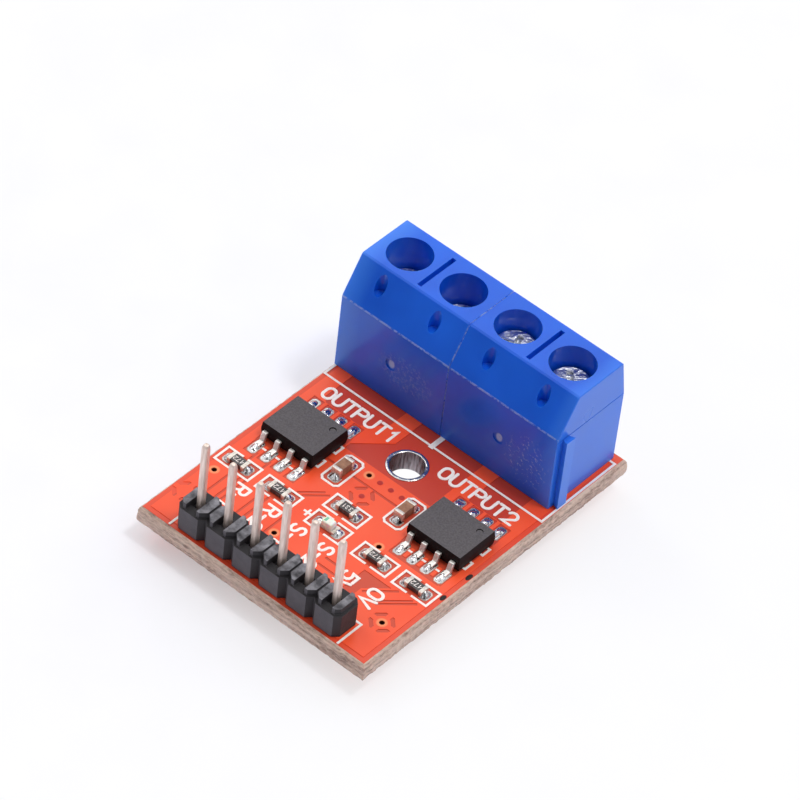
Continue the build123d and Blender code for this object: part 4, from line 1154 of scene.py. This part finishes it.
lampMark(lampMarkLooks)
for number, (y, half) in enumerate(charredLooks["places"], start=1):
    charredMark(number, y, half, charredLooks)
print("small marks made")


# Floor: white paper just under the lowest solder tails; what the camera sees is part its own glow, so the
# shadow on it stays pale. The glow is painted brighter under the mounting hole, a painted pool of light, and
# rises from left to right, which paints the shadow on the right paler
floorLooks = {
    "half": 3000.0, "gap": 0.01, "dark": "#F2F2FA", "pale": "#F6F6FF", "fibre": 6.0,
    "glowLeft": 0.33, "glowRight": 0.7, "spot": (-1.35, 1.85), "spotReach": (2.2, 2.2, 5.0),
}


def makeFloor(looks):
    level = cadBox[0][2] / mm - looks["gap"]
    half = looks["half"]
    corners = np.array([
        (-half, -half, level), (half, -half, level), (half, half, level), (-half, half, level)])
    floor = bpy.data.objects.new("floor", pointsMesh("floor", corners, [np.array([[0, 1, 2, 3]])]))
    bpy.context.scene.collection.objects.link(floor)
    material, tree, paper = newMaterial("whitePaperSweep", {"Roughness": 0.9, "Specular IOR Level": 0.1})
    colour = addNode(tree, "ShaderNodeValToRGB", {
        "Fac": blotches(tree, looks["fibre"], detail=4),
        "stops": [(0.3, looks["dark"]), (0.7, looks["pale"])]})
    setNode(tree, paper, {"Base Color": colour})
    # Painted light: a pool of glow under the mounting hole, and a glow that rises from left to right
    spot = markAt(tree, (*looks["spot"], level), looks["spotReach"])
    aside = addNode(tree, "ShaderNodeMapRange", {
        "Value": objectPlace(tree)["X"], "From Min": boardLow[0] * mm, "From Max": boardHigh[0] * mm,
        "To Min": looks["glowLeft"], "To Max": looks["glowRight"]})
    brightest = addNode(tree, "ShaderNodeMath", {"operation": "MAXIMUM", 0: spot, 1: aside})
    seen = addNode(tree, "ShaderNodeLightPath", {}).outputs["Is Camera Ray"]
    glow = addNode(tree, "ShaderNodeMath", {"operation": "MULTIPLY", 0: seen, 1: brightest})
    light = addNode(tree, "ShaderNodeEmission", {"Color": "#FFFFFF", "Strength": 1.0})
    both = addNode(tree, "ShaderNodeMixShader", {0: glow, 1: paper, 2: light})
    setNode(tree, tree.nodes["Material Output"], {"Surface": both})
    floor.data.materials.append(material)


makeFloor(floorLooks)
print("floor laid")


# Studio: a pale room, brightest at the back and overhead and darker on the side where the camera stands,
# with a dark band and a dark opening that the metal mirrors, and two soft boxes. Strength falls from
# middle + swing to middle - swing towards darkSide, and within openingEdge, as cosines, to openingShow of
# that. Boxes are (name, place in metres, width in metres, watts).
studio = {
    "room": [(0.0, "#F2F2F2"), (0.12, "#C8C8CC"), (0.2, "#66666C"), (0.36, "#66666C"), (0.5, "#FFFFFF"),
             (1.0, "#FFFFFF")],
    "roomFrom": -0.1, "roomTo": 0.9,
    "middle": 0.86, "swing": 0.46,
    "darkSide": (0.45, -0.80, -0.40),
    "opening": (0.4176, -0.5734, 0.7049), "openingEdge": (0.84, 0.93), "openingShow": 0.10,
    "boxes": [
        ("topSpot", (0.26, 0.12, 0.85), 0.13, 2.1),
        ("leftBox", (-0.62, 0.10, 0.66), 0.20, 0.6),
    ],
}


def makeRoom(setup):
    world = bpy.data.worlds.new("paleRoom")
    bpy.context.scene.world = world
    world.use_nodes = True
    tree = world.node_tree
    tree.nodes.clear()
    way = addNode(tree, "ShaderNodeTexCoord", {}).outputs["Generated"]
    up = addNode(tree, "ShaderNodeSeparateXYZ", {"Vector": way}).outputs["Z"]
    height = addNode(tree, "ShaderNodeMapRange", {
        "Value": up, "From Min": setup["roomFrom"], "From Max": setup["roomTo"]})
    room = addNode(tree, "ShaderNodeValToRGB", {"Fac": height, "stops": setup["room"]})
    toDark = addNode(tree, "ShaderNodeVectorMath", {"operation": "DOT_PRODUCT", 0: way, 1: setup["darkSide"]})
    side = addNode(tree, "ShaderNodeMapRange", {
        "Value": toDark.outputs["Value"], "From Min": -1.0, "From Max": 1.0,
        "To Min": setup["middle"] + setup["swing"], "To Max": setup["middle"] - setup["swing"]})
    toOpening = addNode(tree, "ShaderNodeVectorMath", {
        "operation": "DOT_PRODUCT", 0: way, 1: setup["opening"]})
    shade = addNode(tree, "ShaderNodeMapRange", {
        "Value": toOpening.outputs["Value"], "From Min": setup["openingEdge"][0],
        "From Max": setup["openingEdge"][1], "To Min": 1.0, "To Max": setup["openingShow"]})
    strength = addNode(tree, "ShaderNodeMath", {"operation": "MULTIPLY", 0: side, 1: shade})
    light = addNode(tree, "ShaderNodeBackground", {"Color": room, "Strength": strength})
    addNode(tree, "ShaderNodeOutputWorld", {"Surface": light})


# A square lamp that faces the origin
def makeBox(name, place, size, power):
    data = bpy.data.lights.new(name, "AREA")
    data.shape = "SQUARE"
    data.size = size
    data.energy = power
    lamp = bpy.data.objects.new(name, data)
    bpy.context.scene.collection.objects.link(lamp)
    lamp.location = place
    lamp.rotation_euler = (-Vector(place)).to_track_quat("-Z", "Y").to_euler()


makeRoom(studio)
for name, place, size, power in studio["boxes"]:
    makeBox(name, place, size, power)
bpy.context.scene.view_settings.view_transform = "Standard"
print("studio lit")
